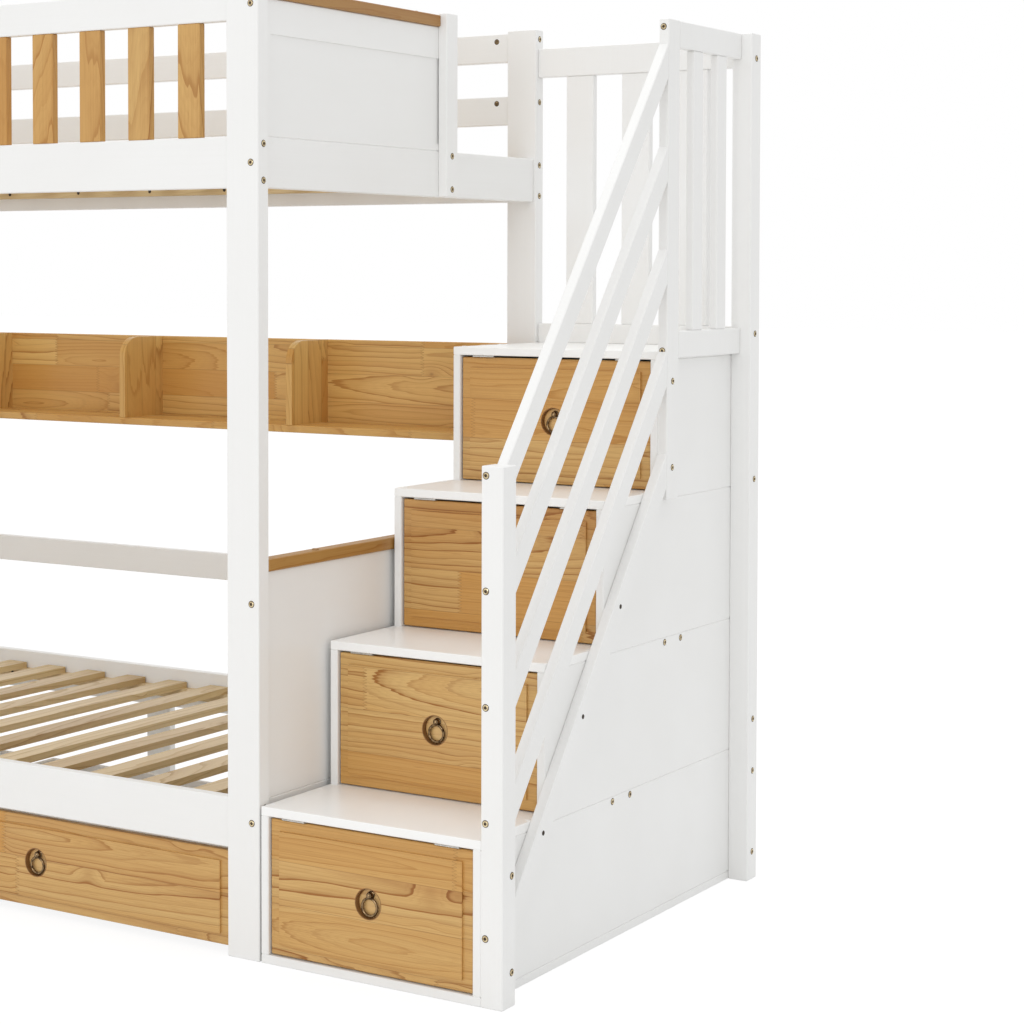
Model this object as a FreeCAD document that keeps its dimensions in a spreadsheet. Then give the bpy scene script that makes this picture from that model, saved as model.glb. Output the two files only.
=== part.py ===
"""Bunk bed with storage stairs, as a parametric document. Millimetres.

The origin is on the floor, under the middle of the whole piece. +X runs along the bed
towards the stairs, +Y goes back to the wall and +Z is up.
"""
import FreeCAD, Part
import math
import os
import Sketcher

doc = FreeCAD.newDocument("bunk_bed_with_storage_stairs")
sheet = doc.addObject("Spreadsheet::Sheet", "Sizes")
parts = []


# Sizes -------------------------------------------------------------------------------------

class Size:
    """A length that carries both its value and the sheet formula that it comes from."""

    def __init__(self, value, formula):
        self.value = value
        self.formula = formula

    def __add__(self, other):
        other = as_size(other)
        return Size(self.value + other.value, f"({self.formula} + {other.formula})")

    def __sub__(self, other):
        other = as_size(other)
        return Size(self.value - other.value, f"({self.formula} - {other.formula})")

    def __mul__(self, other):
        other = as_size(other)
        return Size(self.value * other.value, f"{self.formula} * {other.formula}")

    def __truediv__(self, other):
        other = as_size(other)
        return Size(self.value / other.value, f"{self.formula} / ({other.formula})")

    def __neg__(self):
        return Size(-self.value, f"(0 - {self.formula})")


def as_size(number):
    """A plain number as a size whose formula is that number."""
    if isinstance(number, Size):
        return number
    return Size(number, f"({number:g})" if number < 0 else f"{number:g}")


def cell(alias, number, meaning):
    """Write one driving dimension into the next row of the sheet."""
    cell.row += 1
    sheet.set(f"A{cell.row}", meaning)
    sheet.set(f"B{cell.row}", f"{number:g}")
    sheet.setAlias(f"B{cell.row}", alias)
    return Size(number, f"Sizes.{alias}")


cell.row = 0

BED_LONG = cell("bed_long", 2060, "bed over its posts")
DEPTH = cell("bed_depth", 980, "front of the posts to the back")
HEIGHT = cell("bed_height", 1720, "height of the posts")
STAIR_SPAN = cell("stair_span", 500, "stairs, from the bed posts to the newel's far face")
POST_WIDE = cell("post_wide", 70, "bed post along the bed")
POST_THICK = cell("post_thick", 30, "bed post across the bed")
EASED = cell("eased_edge", 1.5, "chamfer that takes the sharpness off a painted edge")

RAIL_THICK = cell("rail_thick", 20, "thickness of every rail and of the end panels")
RAIL_INSET = cell("rail_inset", 6, "rail face behind the post face")
RAIL_TALL = cell("rail_tall", 90, "height of side and end rails")
LOWER_RAIL = cell("lower_rail_base", 193, "underside of the lower rails")
UPPER_RAIL = cell("upper_rail_base", 1360, "underside of the upper rails")
GUARD_TALL = cell("guard_tall", 60, "height of the guard rails")
FRONT_GUARD = cell("front_guard_base", 1653, "underside of the front guard's top rail")
REAR_GUARD = cell("rear_guard_base", 1655, "underside of the upper rear guard rail")
REAR_MIDDLE = cell("rear_middle_base", 1523, "underside of the second rear guard rail")
REAR_LOWER = cell("rear_lower_base", 503, "underside of the lower bunk's rear guard rail")

GUARD_SLAT_WIDE = cell("guard_slat_wide", 50, "front guard slat along the bed")
SLAT_THICK = cell("guard_slat_thick", 16, "thickness of every guard slat")
GUARD_SLATS = 16

BED_SLAT_WIDE = cell("bed_slat_wide", 55, "bed slat along the bed")
BED_SLAT_THICK = cell("bed_slat_thick", 14, "bed slat thickness")
BED_SLAT_PITCH = cell("bed_slat_pitch", 125.6, "one bed slat to the next")
BED_SLAT_GAP = cell("bed_slat_end_gap", 5, "bed slat end to the side rail")
BED_SLATS = 16
BATTEN_WIDE = cell("batten_wide", 25, "batten across the bed")
BATTEN_TALL = cell("batten_tall", 22, "batten height")
BATTEN_LIFT = cell("batten_lift", 28, "batten above the underside of its rail")

PANEL_TOP = cell("end_panel_top", 1692, "top of the upper end panels")
LOW_PANEL_TOP = cell("low_panel_top", 686, "top of the lower end panels")
PANEL_BAND = cell("panel_band", 62, "plain band along the top of an upper end panel")
PANEL_STILE = cell("panel_stile", 14, "plain edge round the panel's sunk field")
PANEL_SINK = cell("panel_sink", 2.5, "depth of the sunk field, on both faces")
CAP_WIDE = cell("cap_wide", 28, "pine cap across its panel")
CAP_TALL = cell("cap_tall", 22, "pine cap height")
CAP_OVERHANG = cell("cap_overhang", 6, "cap past the panel's outer face")

ENTRY_FRONT = cell("entry_front", 584, "entry post, from the front of the bed")
ENTRY_WIDE = cell("entry_wide", 40, "entry post across the bed")
ENTRY_TOP = cell("entry_top", 1718, "top of the entry post")

BOARD = cell("board_thick", 16, "stair and shelf boards")
SHELF_DEEP = cell("shelf_deep", 150, "shelf, front to back")
SHELF_BASE = cell("shelf_base", 862, "underside of the shelf")
SHELF_TALL = cell("shelf_tall", 200, "shelf height")
SHELF_ROUND = cell("shelf_round", 45, "rounded front corner of the shelf's uprights")
SHELF_BAYS = 4

GOING = cell("going", 208, "one riser to the next")
RISE = cell("step_rise", 263, "one tread to the next")
STAIR_GAP = cell("stair_gap", 4, "bed posts to the stairs")
STAIR_WIDE = cell("stair_wide", 454, "stairs over their side boards")
STEPS = 4
BACK_PANEL = cell("back_panel_thick", 5, "back panel of a stair cupboard")
BACK_PANEL_INSET = cell("back_panel_inset", 8, "back panel to the rear edge")
STRETCHER_WIDE = cell("stretcher_wide", 96, "flat cross board under a tread")
LOW_STRETCHER = cell("low_stretcher", 488, "middle of the first cross board, from the front")
HIGH_STRETCHER = cell("high_stretcher", 691, "middle of the second cross board")

NEWEL = cell("newel_side", 42, "square newel and rear stair post")
NEWEL_TOP = cell("newel_top", 897, "top of the newel")
STAIR_POST_TOP = cell("stair_post_top", 1685, "top of the two tall stair posts")
UPPER_POST_BASE = cell("upper_post_base", 788, "underside of the upper stair post")
UPPER_POST_DEEP = cell("upper_post_deep", 46, "upper stair post, front to back")
BAR_THICK = cell("bar_thick", 20, "slanted bars and landing rails")
BAR_FACE = cell("bar_face", 65.3, "slanted bar, measured upright")
BAR_TOP = cell("bar_top", 888, "top of the highest bar at the newel")
BAR_CLIMB = cell("bar_climb", 751, "rise of a bar from the newel to the upper post")
BAR_PITCH = cell("bar_pitch", 190.8, "one bar to the next, measured upright")
BARS = 5

SIDE_RAIL_TALL = cell("landing_side_rail", 50, "landing side guard rails")
SIDE_TOP_RAIL = cell("landing_side_top", 1634, "underside of the side guard's top rail")
SIDE_LOW_RAIL = cell("landing_side_low", 1053, "underside of the side guard's low rail")
SIDE_SLAT = cell("landing_side_slat", 40, "side guard slat")
SIDE_SLATS = 2
BACK_TOP_RAIL = cell("landing_back_top", 1620, "underside of the back guard's top rail")
BACK_LOW_TALL = cell("landing_back_low", 40, "back guard's low rail, on the landing")
BACK_SLAT = cell("landing_back_slat", 64, "back guard slat")
BACK_SLATS = 3

FRONT_THICK = cell("front_thick", 18, "flap doors and drawer fronts")
FIELD_LIFT = cell("field_lift", 4, "raised field above its margin")
MARGIN = cell("margin", 20, "lowered margin round the raised field")
RECESS_RADIUS = cell("recess_radius", 26, "round recess behind a ring pull")
RECESS_DEEP = cell("recess_deep", 10, "depth of that recess")
RING_RADIUS = cell("ring_radius", 18, "ring pull, to the middle of its wire")
WIRE = cell("ring_wire_radius", 2, "ring pull wire radius")
RING_DROP = cell("ring_drop", 4, "ring centre below the recess centre")
WIRE_DEEP = cell("wire_deep", 5, "ring wire behind the raised face")
EYE_BORE = cell("eye_bore_radius", 2.4, "hole of the eye that the ring swings in")
EYE_OUTER = cell("eye_outer_radius", 4.6, "outside of the eye")
EYE_WIDE = cell("eye_wide", 2.6, "eye along the ring's pivot")
EYE_SHANK = cell("eye_shank_radius", 1.5, "shank of the eye")
SHANK_BORE = cell("shank_bore_radius", 1.55, "hole for the shank")
EYE_BITE = cell("eye_bite", 6, "shank inside the wood")

FLAP_INSET = cell("flap_inset", 2, "flap face behind the stair's front edges")
FLAP_SIDE = cell("flap_side_gap", 2, "flap to the side board")
FLAP_FOOT = cell("flap_foot_gap", 2, "flap to the board under it")
FLAP_HEAD = cell("flap_head_gap", 4, "flap to the tread over it, which takes the hinges")
HINGE_LONG = cell("hinge_long", 48, "butt hinge")
HINGE_EDGE = cell("hinge_edge", 26, "hinge to the flap's end")
LEAF_THICK = cell("leaf_thick", 1, "hinge leaf")
LEAF_DEEP = cell("leaf_deep", 13, "hinge leaf behind its pin")
KNUCKLE = cell("knuckle_radius", 2, "hinge knuckle radius")
PIN = cell("pin_radius", 0.9, "hinge pin radius")
PIN_BORE = cell("pin_bore_radius", 1.1, "bore of the moving knuckle")
KNUCKLE_GAP = cell("knuckle_gap", 0.15, "between two knuckles")
LEAF_GAP = cell("leaf_gap", 0.3, "leaf to the other leaf's knuckle")

DRAWER_WIDE = cell("drawer_wide", 919, "drawer front along the bed")
DRAWER_TALL = cell("drawer_tall", 171, "drawer front height")
DRAWER_FOOT = cell("drawer_foot", 15, "drawer front above the floor")
DRAWER_GAP = cell("drawer_gap", 3, "drawer front to the post beside it")
BOX_INSET = cell("box_inset", 14, "drawer box inside the end of its front")
BOX_SIDE = cell("box_side", 12, "drawer sides and back")
BOX_BASE = cell("box_base", 36, "underside of the drawer box")
BOX_TOP = cell("box_top", 150, "top of the drawer box")
BOX_DEEP = cell("box_deep", 516, "drawer box behind its front")
BOX_BOTTOM = cell("box_bottom", 9, "drawer bottom")
WHEEL_RADIUS = cell("wheel_radius", 15, "drawer wheel radius")
WHEEL_WIDE = cell("wheel_wide", 14, "drawer wheel width")
WHEEL_BORE = cell("wheel_bore_radius", 3.05, "wheel bore")
AXLE = cell("axle_radius", 3, "wheel axle radius")
FORK_WIDE = cell("fork_wide", 20, "wheel bracket over its ears")
FORK_DEEP = cell("fork_deep", 26, "wheel bracket, front to back")
EAR_THICK = cell("ear_thick", 2, "ear and top plate of a wheel bracket")
EAR_FOOT = cell("ear_foot", 9, "bottom of the ears above the floor")
WHEEL_SIDE = cell("wheel_side", 44, "wheel to the outside of the drawer box")
WHEEL_FRONT = cell("wheel_front", 60, "front wheels behind the drawer front")
WHEEL_BACK = cell("wheel_back", 40, "rear wheels to the back of the box")

HALF = (BED_LONG + STAIR_SPAN) / 2
LEFT = -HALF
BED_RIGHT = HALF - STAIR_SPAN
FRONT = -(DEPTH / 2)
BACK = DEPTH / 2
INNER_LEFT = LEFT + POST_WIDE
INNER_RIGHT = BED_RIGHT - POST_WIDE
FLOOR = as_size(0)


# Shared forms ------------------------------------------------------------------------------

def bind(thing, name, size):
    """Tie one property to its sheet formula, and give it that value at once."""
    thing.setExpression(name, as_size(size).formula)


def new_body(label):
    body = doc.addObject("PartDesign::Body", label)
    body.Label = label
    return body


def new_sketch(body, plane, place):
    """A sketch on the body's own XY, XZ or YZ plane, moved to `place` along the third axis.

    The XZ plane faces -Y, so its offset has the other sign.
    """
    sketch = body.newObject("Sketcher::SketchObject", f"{body.Label}_outline")
    planes = [item for item in body.Origin.OriginFeatures if item.Role == f"{plane}_Plane"]
    sketch.AttachmentSupport = [(planes[0], "")]
    sketch.MapMode = "FlatFace"
    bind(sketch, "AttachmentOffset.Base.z", -as_size(place) if plane == "XZ" else place)
    return sketch


def pin_point(sketch, line, end, across, up):
    """Fix one end of a sketch line by two dimensions from the origin."""
    for kind, size in (("DistanceX", as_size(across)), ("DistanceY", as_size(up))):
        constraint = sketch.addConstraint(Sketcher.Constraint(kind, -1, 1, line, end, size.value))
        bind(sketch, f"Constraints[{constraint}]", size)


def polygon(points):
    """A closed outline through the points, every corner dimensioned."""
    def draw(sketch):
        first = sketch.GeometryCount
        count = len(points)
        corners = [FreeCAD.Vector(as_size(a).value, as_size(b).value, 0) for a, b in points]
        sketch.addGeometry([Part.LineSegment(corners[index], corners[(index + 1) % count])
                            for index in range(count)])
        sketch.addConstraint([Sketcher.Constraint("Coincident", first + index, 2,
                                                  first + (index + 1) % count, 1)
                              for index in range(count)])
        places = [(first + index, kind, as_size(size)) for index, point in enumerate(points)
                  for kind, size in zip(("DistanceX", "DistanceY"), point)]
        numbers = sketch.addConstraint([Sketcher.Constraint(kind, -1, 1, line, 1, size.value)
                                        for line, kind, size in places])
        for number, (_, _, size) in zip(numbers, places):
            bind(sketch, f"Constraints[{number}]", size)
    return draw


def rectangle(left, low, right, high):
    return polygon([(left, low), (right, low), (right, high), (left, high)])


def circle(across, up, radius):
    """A circle dimensioned by its centre and its radius."""
    across, up, radius = as_size(across), as_size(up), as_size(radius)

    def draw(sketch):
        centre = FreeCAD.Vector(across.value, up.value, 0)
        line = sketch.addGeometry(Part.Circle(centre, FreeCAD.Vector(0, 0, 1), radius.value))
        pin_point(sketch, line, 3, across, up)
        constraint = sketch.addConstraint(Sketcher.Constraint("Radius", line, radius.value))
        bind(sketch, f"Constraints[{constraint}]", radius)
    return draw


def regular(across, up, reach, sides):
    """A polygon of equal sides round a point; reach is from that point to a corner."""
    points = []
    for index in range(sides):
        angle = math.tau * (index + 0.5) / sides
        points.append((as_size(across) + reach * math.cos(angle), as_size(up) + reach * math.sin(angle)))
    return polygon(points)


def add(body, plane, low, high, outlines):
    """Pad the outlines between two places on the plane's own axis."""
    sketch = new_sketch(body, plane, high if plane == "XZ" else low)
    for draw in outlines:
        draw(sketch)
    pad = body.newObject("PartDesign::Pad", f"{body.Label}_pad")
    pad.Profile = sketch
    bind(pad, "Length", as_size(high) - low)
    return pad


def cut(body, plane, low, high, outlines):
    """Pocket the outlines out of the body between two places on the plane's own axis."""
    sketch = new_sketch(body, plane, low if plane == "XZ" else high)
    for draw in outlines:
        draw(sketch)
    pocket = body.newObject("PartDesign::Pocket", f"{body.Label}_pocket")
    pocket.Profile = sketch
    bind(pocket, "Length", as_size(high) - low)
    return pocket


def add_axis(sketch, start, end):
    """A construction line between two dimensioned points, to revolve about."""
    ends = [FreeCAD.Vector(as_size(a).value, as_size(b).value, 0) for a, b in (start, end)]
    line = sketch.addGeometry(Part.LineSegment(*ends), True)
    pin_point(sketch, line, 1, *start)
    pin_point(sketch, line, 2, *end)


def turn(body, height, across, outlines):
    """Revolve outlines that are drawn on a level plane about a line along X in that plane."""
    sketch = new_sketch(body, "XY", height)
    for draw in outlines:
        draw(sketch)
    add_axis(sketch, (0, across), (BED_RIGHT, across))
    revolution = body.newObject("PartDesign::Revolution", f"{body.Label}_turned")
    revolution.Profile = sketch
    revolution.ReferenceAxis = (sketch, ["Axis0"])
    revolution.Angle = 360


def repeat(body, feature, direction, pitch, count):
    """A row of one feature; direction is H_Axis or V_Axis of its own sketch."""
    row = body.newObject("PartDesign::LinearPattern", f"{body.Label}_row")
    row.Originals = [feature]
    row.Direction = (feature.Profile[0], [direction])
    row.Occurrences = count
    bind(row, "Length", as_size(pitch) * (count - 1))
    body.Tip = row
    return row


def ease(body, size=EASED):
    """Chamfer every edge of the body's pieces."""
    last = body.Tip
    chamfer = body.newObject("PartDesign::Chamfer", f"{body.Label}_eased")
    chamfer.Base = (last, [""])
    chamfer.UseAllEdges = True
    bind(chamfer, "Size", size)
    body.Tip = chamfer
    return chamfer


def boards(label, plane, low, high, outlines):
    """Boards with eased edges, all padded over the same stretch. They don't touch each other."""
    body = new_body(label)
    add(body, plane, low, high, outlines)
    ease(body)
    return body


def planks(label, plane, low, high, outlines):
    """A sub-part made of such boards."""
    parts.append(boards(label, plane, low, high, outlines))


def group(label, members):
    """Several separate pieces that share one file."""
    compound = doc.addObject("Part::Compound", label)
    compound.Label = label
    compound.Links = members
    parts.append(compound)
    return compound


# Bed frame ---------------------------------------------------------------------------------

RAIL_MIDDLE = RAIL_INSET + RAIL_THICK / 2
FRONT_RAIL = FRONT + RAIL_INSET
BACK_RAIL = BACK - RAIL_INSET - RAIL_THICK


def bed_post(end, side):
    """A rectangular post that runs from the floor to the top guard."""
    left = LEFT if end == "left" else BED_RIGHT - POST_WIDE
    front = FRONT if side == "front" else BACK - POST_THICK
    planks(f"post_{side}_{end}", "XY", FLOOR, HEIGHT,
           [rectangle(left, front, left + POST_WIDE, front + POST_THICK)])


def side_rail(level, side):
    """A board along the bed, butted between two posts."""
    base = LOWER_RAIL if level == "lower" else UPPER_RAIL
    front = FRONT_RAIL if side == "front" else BACK_RAIL
    planks(f"side_rail_{level}_{side}", "XZ", front, front + RAIL_THICK,
           [rectangle(INNER_LEFT, base, INNER_RIGHT, base + RAIL_TALL)])


for end in ("left", "right"):
    for side in ("front", "rear"):
        bed_post(end, side)
for level in ("upper", "lower"):
    for side in ("front", "rear"):
        side_rail(level, side)

# The four end rails, one at the head and one at the foot of each bunk.
LEFT_PANEL = (LEFT + RAIL_INSET, LEFT + RAIL_INSET + RAIL_THICK)
RIGHT_PANEL = (BED_RIGHT - RAIL_INSET - RAIL_THICK, BED_RIGHT - RAIL_INSET)
BETWEEN_POSTS = (FRONT + POST_THICK, BACK - POST_THICK)
planks("end_rails", "XZ", *BETWEEN_POSTS,
       [rectangle(near, base, far, base + RAIL_TALL)
        for near, far in (LEFT_PANEL, RIGHT_PANEL) for base in (LOWER_RAIL, UPPER_RAIL)])

# The entry post laps the outside of the right end rail and frames the way in from the landing.
ENTRY_BACK = FRONT + ENTRY_FRONT + ENTRY_WIDE
planks("entry_post", "XY", UPPER_RAIL, ENTRY_TOP,
       [rectangle(RIGHT_PANEL[1], FRONT + ENTRY_FRONT, RIGHT_PANEL[1] + RAIL_THICK, ENTRY_BACK)])


def sunk_end_panel(near, far, back):
    """An upper end panel whose field is sunk on both faces, under a plain top band."""
    front = BETWEEN_POSTS[0]
    base = UPPER_RAIL + RAIL_TALL
    panel = new_body("end_panel")
    add(panel, "YZ", near, far, [rectangle(front, base, back, PANEL_TOP)])
    ease(panel)
    field = rectangle(front + PANEL_STILE, base + PANEL_STILE, back - PANEL_STILE, PANEL_TOP - PANEL_BAND)
    cut(panel, "YZ", near, near + PANEL_SINK, [field])
    cut(panel, "YZ", far - PANEL_SINK, far, [field])
    return panel


group("end_panels_upper", [sunk_end_panel(*LEFT_PANEL, BETWEEN_POSTS[1]),
                           sunk_end_panel(*RIGHT_PANEL, ENTRY_BACK)])
planks("end_panels_lower", "XZ", *BETWEEN_POSTS,
       [rectangle(near, LOWER_RAIL + RAIL_TALL, far, LOW_PANEL_TOP)
        for near, far in (LEFT_PANEL, RIGHT_PANEL)])


def end_caps():
    """Pine caps on the four end panels; the one beside the entry is notched round its post."""
    front, back = BETWEEN_POSTS
    left_out = LEFT_PANEL[0] - CAP_OVERHANG
    right_out = RIGHT_PANEL[1] + CAP_OVERHANG
    left_cap = rectangle(left_out, front, left_out + CAP_WIDE, back)
    right_cap = rectangle(right_out - CAP_WIDE, front, right_out, back)
    entry_cap = polygon([(right_out - CAP_WIDE, front), (right_out, front),
                         (right_out, FRONT + ENTRY_FRONT), (RIGHT_PANEL[1], FRONT + ENTRY_FRONT),
                         (RIGHT_PANEL[1], ENTRY_BACK), (right_out - CAP_WIDE, ENTRY_BACK)])
    low = boards("low_caps", "XY", LOW_PANEL_TOP, LOW_PANEL_TOP + CAP_TALL, [left_cap, right_cap])
    high = boards("high_caps", "XY", PANEL_TOP, PANEL_TOP + CAP_TALL, [left_cap, entry_cap])
    group("end_panel_caps", [low, high])


end_caps()

# Horizontal guard rails: one along the front of the top bunk, two behind it, one behind the lower.
planks("guard_rail_front", "XZ", FRONT_RAIL, FRONT_RAIL + RAIL_THICK,
       [rectangle(INNER_LEFT, FRONT_GUARD, INNER_RIGHT, FRONT_GUARD + GUARD_TALL)])
planks("guard_rails_rear", "XZ", BACK_RAIL, BACK_RAIL + RAIL_THICK,
       [rectangle(INNER_LEFT, base, INNER_RIGHT, base + GUARD_TALL)
        for base in (REAR_LOWER, REAR_MIDDLE, REAR_GUARD)])

# Sixteen upright pine slats fill the front guard, with equal gaps between them and to the posts.
GUARD_GAP = (INNER_RIGHT - INNER_LEFT - GUARD_SLAT_WIDE * GUARD_SLATS) / (GUARD_SLATS + 1)
front_slats = new_body("front_guard_slats")
SLAT_FRONT = FRONT + RAIL_MIDDLE - SLAT_THICK / 2
first_slat = add(front_slats, "XZ", SLAT_FRONT, SLAT_FRONT + SLAT_THICK,
                 [rectangle(INNER_LEFT + GUARD_GAP, UPPER_RAIL + RAIL_TALL,
                            INNER_LEFT + GUARD_GAP + GUARD_SLAT_WIDE, FRONT_GUARD)])
repeat(front_slats, first_slat, "H_Axis", GUARD_GAP + GUARD_SLAT_WIDE, GUARD_SLATS)
ease(front_slats)
parts.append(front_slats)

# Pine battens screwed inside the side rails carry the bed slats.
battens = new_body("slat_battens")
add(battens, "YZ", INNER_LEFT, INNER_RIGHT,
    [rectangle(near, base + BATTEN_LIFT, near + BATTEN_WIDE, base + BATTEN_LIFT + BATTEN_TALL)
     for near in (FRONT_RAIL + RAIL_THICK, BACK_RAIL - BATTEN_WIDE)
     for base in (LOWER_RAIL, UPPER_RAIL)])
parts.append(battens)


def bed_slats(level, rail_base):
    """A row of pine slats across the bed, lying on the two battens of one bunk."""
    base = rail_base + BATTEN_LIFT + BATTEN_TALL
    middle = (LEFT + BED_RIGHT) / 2
    first = middle - BED_SLAT_PITCH * ((BED_SLATS - 1) / 2) - BED_SLAT_WIDE / 2
    slats = new_body(f"bed_slats_{level}")
    slat = add(slats, "XZ", FRONT_RAIL + RAIL_THICK + BED_SLAT_GAP, BACK_RAIL - BED_SLAT_GAP,
               [rectangle(first, base, first + BED_SLAT_WIDE, base + BED_SLAT_THICK)])
    repeat(slats, slat, "H_Axis", BED_SLAT_PITCH, BED_SLATS)
    parts.append(slats)


bed_slats("upper", UPPER_RAIL)
bed_slats("lower", LOWER_RAIL)

# A short leg under the middle of each lower side rail.
MIDDLE = (LEFT + BED_RIGHT) / 2
planks("centre_legs", "XY", FLOOR, LOWER_RAIL,
       [rectangle(MIDDLE - POST_WIDE / 2, near, MIDDLE + POST_WIDE / 2, near + RAIL_THICK)
        for near in (FRONT_RAIL, BACK_RAIL)])


# Shelf behind the lower bunk ---------------------------------------------------------------

SHELF_FRONT = BACK - SHELF_DEEP
SHELF_TOP = SHELF_BASE + SHELF_TALL


def upright_outline(sketch):
    """A board standing on the shelf's bottom, its top front corner an arc between two tangents."""
    corner, front, back = SHELF_ROUND, SHELF_FRONT, BACK - BOARD
    points = [(front, SHELF_TOP - corner), (front, SHELF_BASE + BOARD), (back, SHELF_BASE + BOARD),
              (back, SHELF_TOP), (front + corner, SHELF_TOP)]
    spots = [FreeCAD.Vector(across.value, up.value, 0) for across, up in points]
    last = len(spots) - 2
    for index in range(last + 1):
        sketch.addGeometry(Part.LineSegment(spots[index], spots[index + 1]))
        pin_point(sketch, index, 1, *points[index])
    pin_point(sketch, last, 2, *points[-1])
    for index in range(last):
        sketch.addConstraint(Sketcher.Constraint("Coincident", index, 2, index + 1, 1))
    centre = FreeCAD.Vector(spots[-1].x, spots[0].y, 0)
    round_edge = Part.Circle(centre, FreeCAD.Vector(0, 0, 1), corner.value)
    arc = sketch.addGeometry(Part.ArcOfCircle(round_edge, math.pi / 2, math.pi))
    sketch.addConstraint(Sketcher.Constraint("Coincident", arc, 1, last, 2))
    sketch.addConstraint(Sketcher.Constraint("Coincident", arc, 2, 0, 1))
    radius = sketch.addConstraint(Sketcher.Constraint("Radius", arc, corner.value))
    bind(sketch, f"Constraints[{radius}]", corner)


def rounded_uprights(label, left_faces):
    """Equal upright boards across the shelf."""
    body = new_body(label)
    for left in left_faces:
        add(body, "YZ", left, left + BOARD, [upright_outline])
    return body


shelf_bottom = boards("shelf_bottom", "YZ", INNER_LEFT, INNER_RIGHT,
                      [rectangle(SHELF_FRONT, SHELF_BASE, BACK - BOARD, SHELF_BASE + BOARD)])
shelf_back = boards("shelf_back", "YZ", INNER_LEFT, INNER_RIGHT,
                    [rectangle(BACK - BOARD, SHELF_BASE, BACK, SHELF_TOP)])
shelf_ends = rounded_uprights("shelf_ends", [INNER_LEFT, INNER_RIGHT - BOARD])
group("shelf_case", [shelf_bottom, shelf_back, shelf_ends])

BAY = (INNER_RIGHT - INNER_LEFT - BOARD * (SHELF_BAYS + 1)) / SHELF_BAYS
parts.append(rounded_uprights("shelf_dividers",
                              [INNER_LEFT + (BAY + BOARD) * bay for bay in range(1, SHELF_BAYS)]))


# Storage stairs ----------------------------------------------------------------------------

STAIR_LEFT = BED_RIGHT + STAIR_GAP
STAIR_RIGHT = STAIR_LEFT + STAIR_WIDE
CUPBOARD_LEFT = STAIR_LEFT + BOARD
CUPBOARD_RIGHT = STAIR_RIGHT - BOARD


def riser(step):
    """The front plane of one step's cupboard."""
    return FRONT + GOING * step


def ceiling(step):
    """The underside of the tread that covers one cupboard."""
    return RISE * (step + 1) - 2


def cupboard_floor(step):
    """The top of the board that one cupboard stands on."""
    return BOARD if step == 0 else ceiling(step - 1) + BOARD


def side_boards(label, left):
    """Four side boards, one on another over the floor board, each starting at its own riser."""
    stack = []
    for step in range(STEPS):
        base = ceiling(step - 1) if step else BOARD
        outline = rectangle(riser(step), base, BACK, ceiling(step))
        stack.append(boards("side_board", "YZ", left, left + BOARD, [outline]))
    group(label, stack)


side_boards("stair_sides_left", STAIR_LEFT)
side_boards("stair_sides_right", CUPBOARD_RIGHT)


def tread(step):
    """A tread over both side boards, drawn in behind the riser to be the next cupboard's floor."""
    front, shoulder = riser(step), riser(step + 1)
    if step == STEPS - 1:
        outline = rectangle(STAIR_LEFT, front, STAIR_RIGHT, BACK)
    else:
        outline = polygon([(STAIR_LEFT, front), (STAIR_RIGHT, front), (STAIR_RIGHT, shoulder),
                           (CUPBOARD_RIGHT, shoulder), (CUPBOARD_RIGHT, BACK), (CUPBOARD_LEFT, BACK),
                           (CUPBOARD_LEFT, shoulder), (STAIR_LEFT, shoulder)])
    return boards(f"tread_{step + 1}", "XY", ceiling(step), ceiling(step) + BOARD, [outline])


group("stair_treads", [tread(step) for step in range(STEPS - 1)])
landing = tread(STEPS - 1)
landing.Label = "stair_landing"
parts.append(landing)

planks("stair_floor", "YZ", STAIR_LEFT, STAIR_RIGHT, [rectangle(FRONT, FLOOR, BACK, BOARD)])
planks("stair_cross_boards", "YZ", CUPBOARD_LEFT, CUPBOARD_RIGHT,
       [rectangle(FRONT + middle - STRETCHER_WIDE / 2, top - BOARD,
                  FRONT + middle + STRETCHER_WIDE / 2, top)
        for middle, top in ((LOW_STRETCHER, ceiling(0)), (HIGH_STRETCHER, ceiling(1)))])

back_panels = new_body("stair_back_panels")
add(back_panels, "XZ", BACK - BACK_PANEL_INSET - BACK_PANEL, BACK - BACK_PANEL_INSET,
    [rectangle(CUPBOARD_LEFT, cupboard_floor(step), CUPBOARD_RIGHT, ceiling(step))
     for step in range(STEPS)])
parts.append(back_panels)


# Stair posts, slanted bars and landing guards ----------------------------------------------

BAR_LEFT = STAIR_RIGHT
BAR_RIGHT = BAR_LEFT + BAR_THICK
UPPER_POST_FRONT = riser(STEPS - 1)
REAR_POST_FRONT = BACK - NEWEL
planks("stair_newel", "XY", FLOOR, NEWEL_TOP,
       [rectangle(STAIR_RIGHT, FRONT, STAIR_RIGHT + NEWEL, FRONT + NEWEL)])
planks("stair_post_rear", "XY", FLOOR, STAIR_POST_TOP,
       [rectangle(STAIR_RIGHT, REAR_POST_FRONT, STAIR_RIGHT + NEWEL, BACK)])
planks("stair_post_upper", "XY", UPPER_POST_BASE, STAIR_POST_TOP,
       [rectangle(BAR_LEFT, UPPER_POST_FRONT, BAR_RIGHT, UPPER_POST_FRONT + UPPER_POST_DEEP)])


def slanted_bars():
    """Five parallel bars, cut upright at both ends to meet the newel and the upper post."""
    low, high = FRONT + NEWEL, UPPER_POST_FRONT
    base = BAR_TOP - BAR_PITCH * (BARS - 1)
    bars = new_body("stair_bars")
    bar = add(bars, "YZ", BAR_LEFT, BAR_RIGHT,
              [polygon([(low, base - BAR_FACE), (high, base - BAR_FACE + BAR_CLIMB),
                        (high, base + BAR_CLIMB), (low, base)])])
    repeat(bars, bar, "V_Axis", BAR_PITCH, BARS)
    ease(bars)
    parts.append(bars)


slanted_bars()


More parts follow.
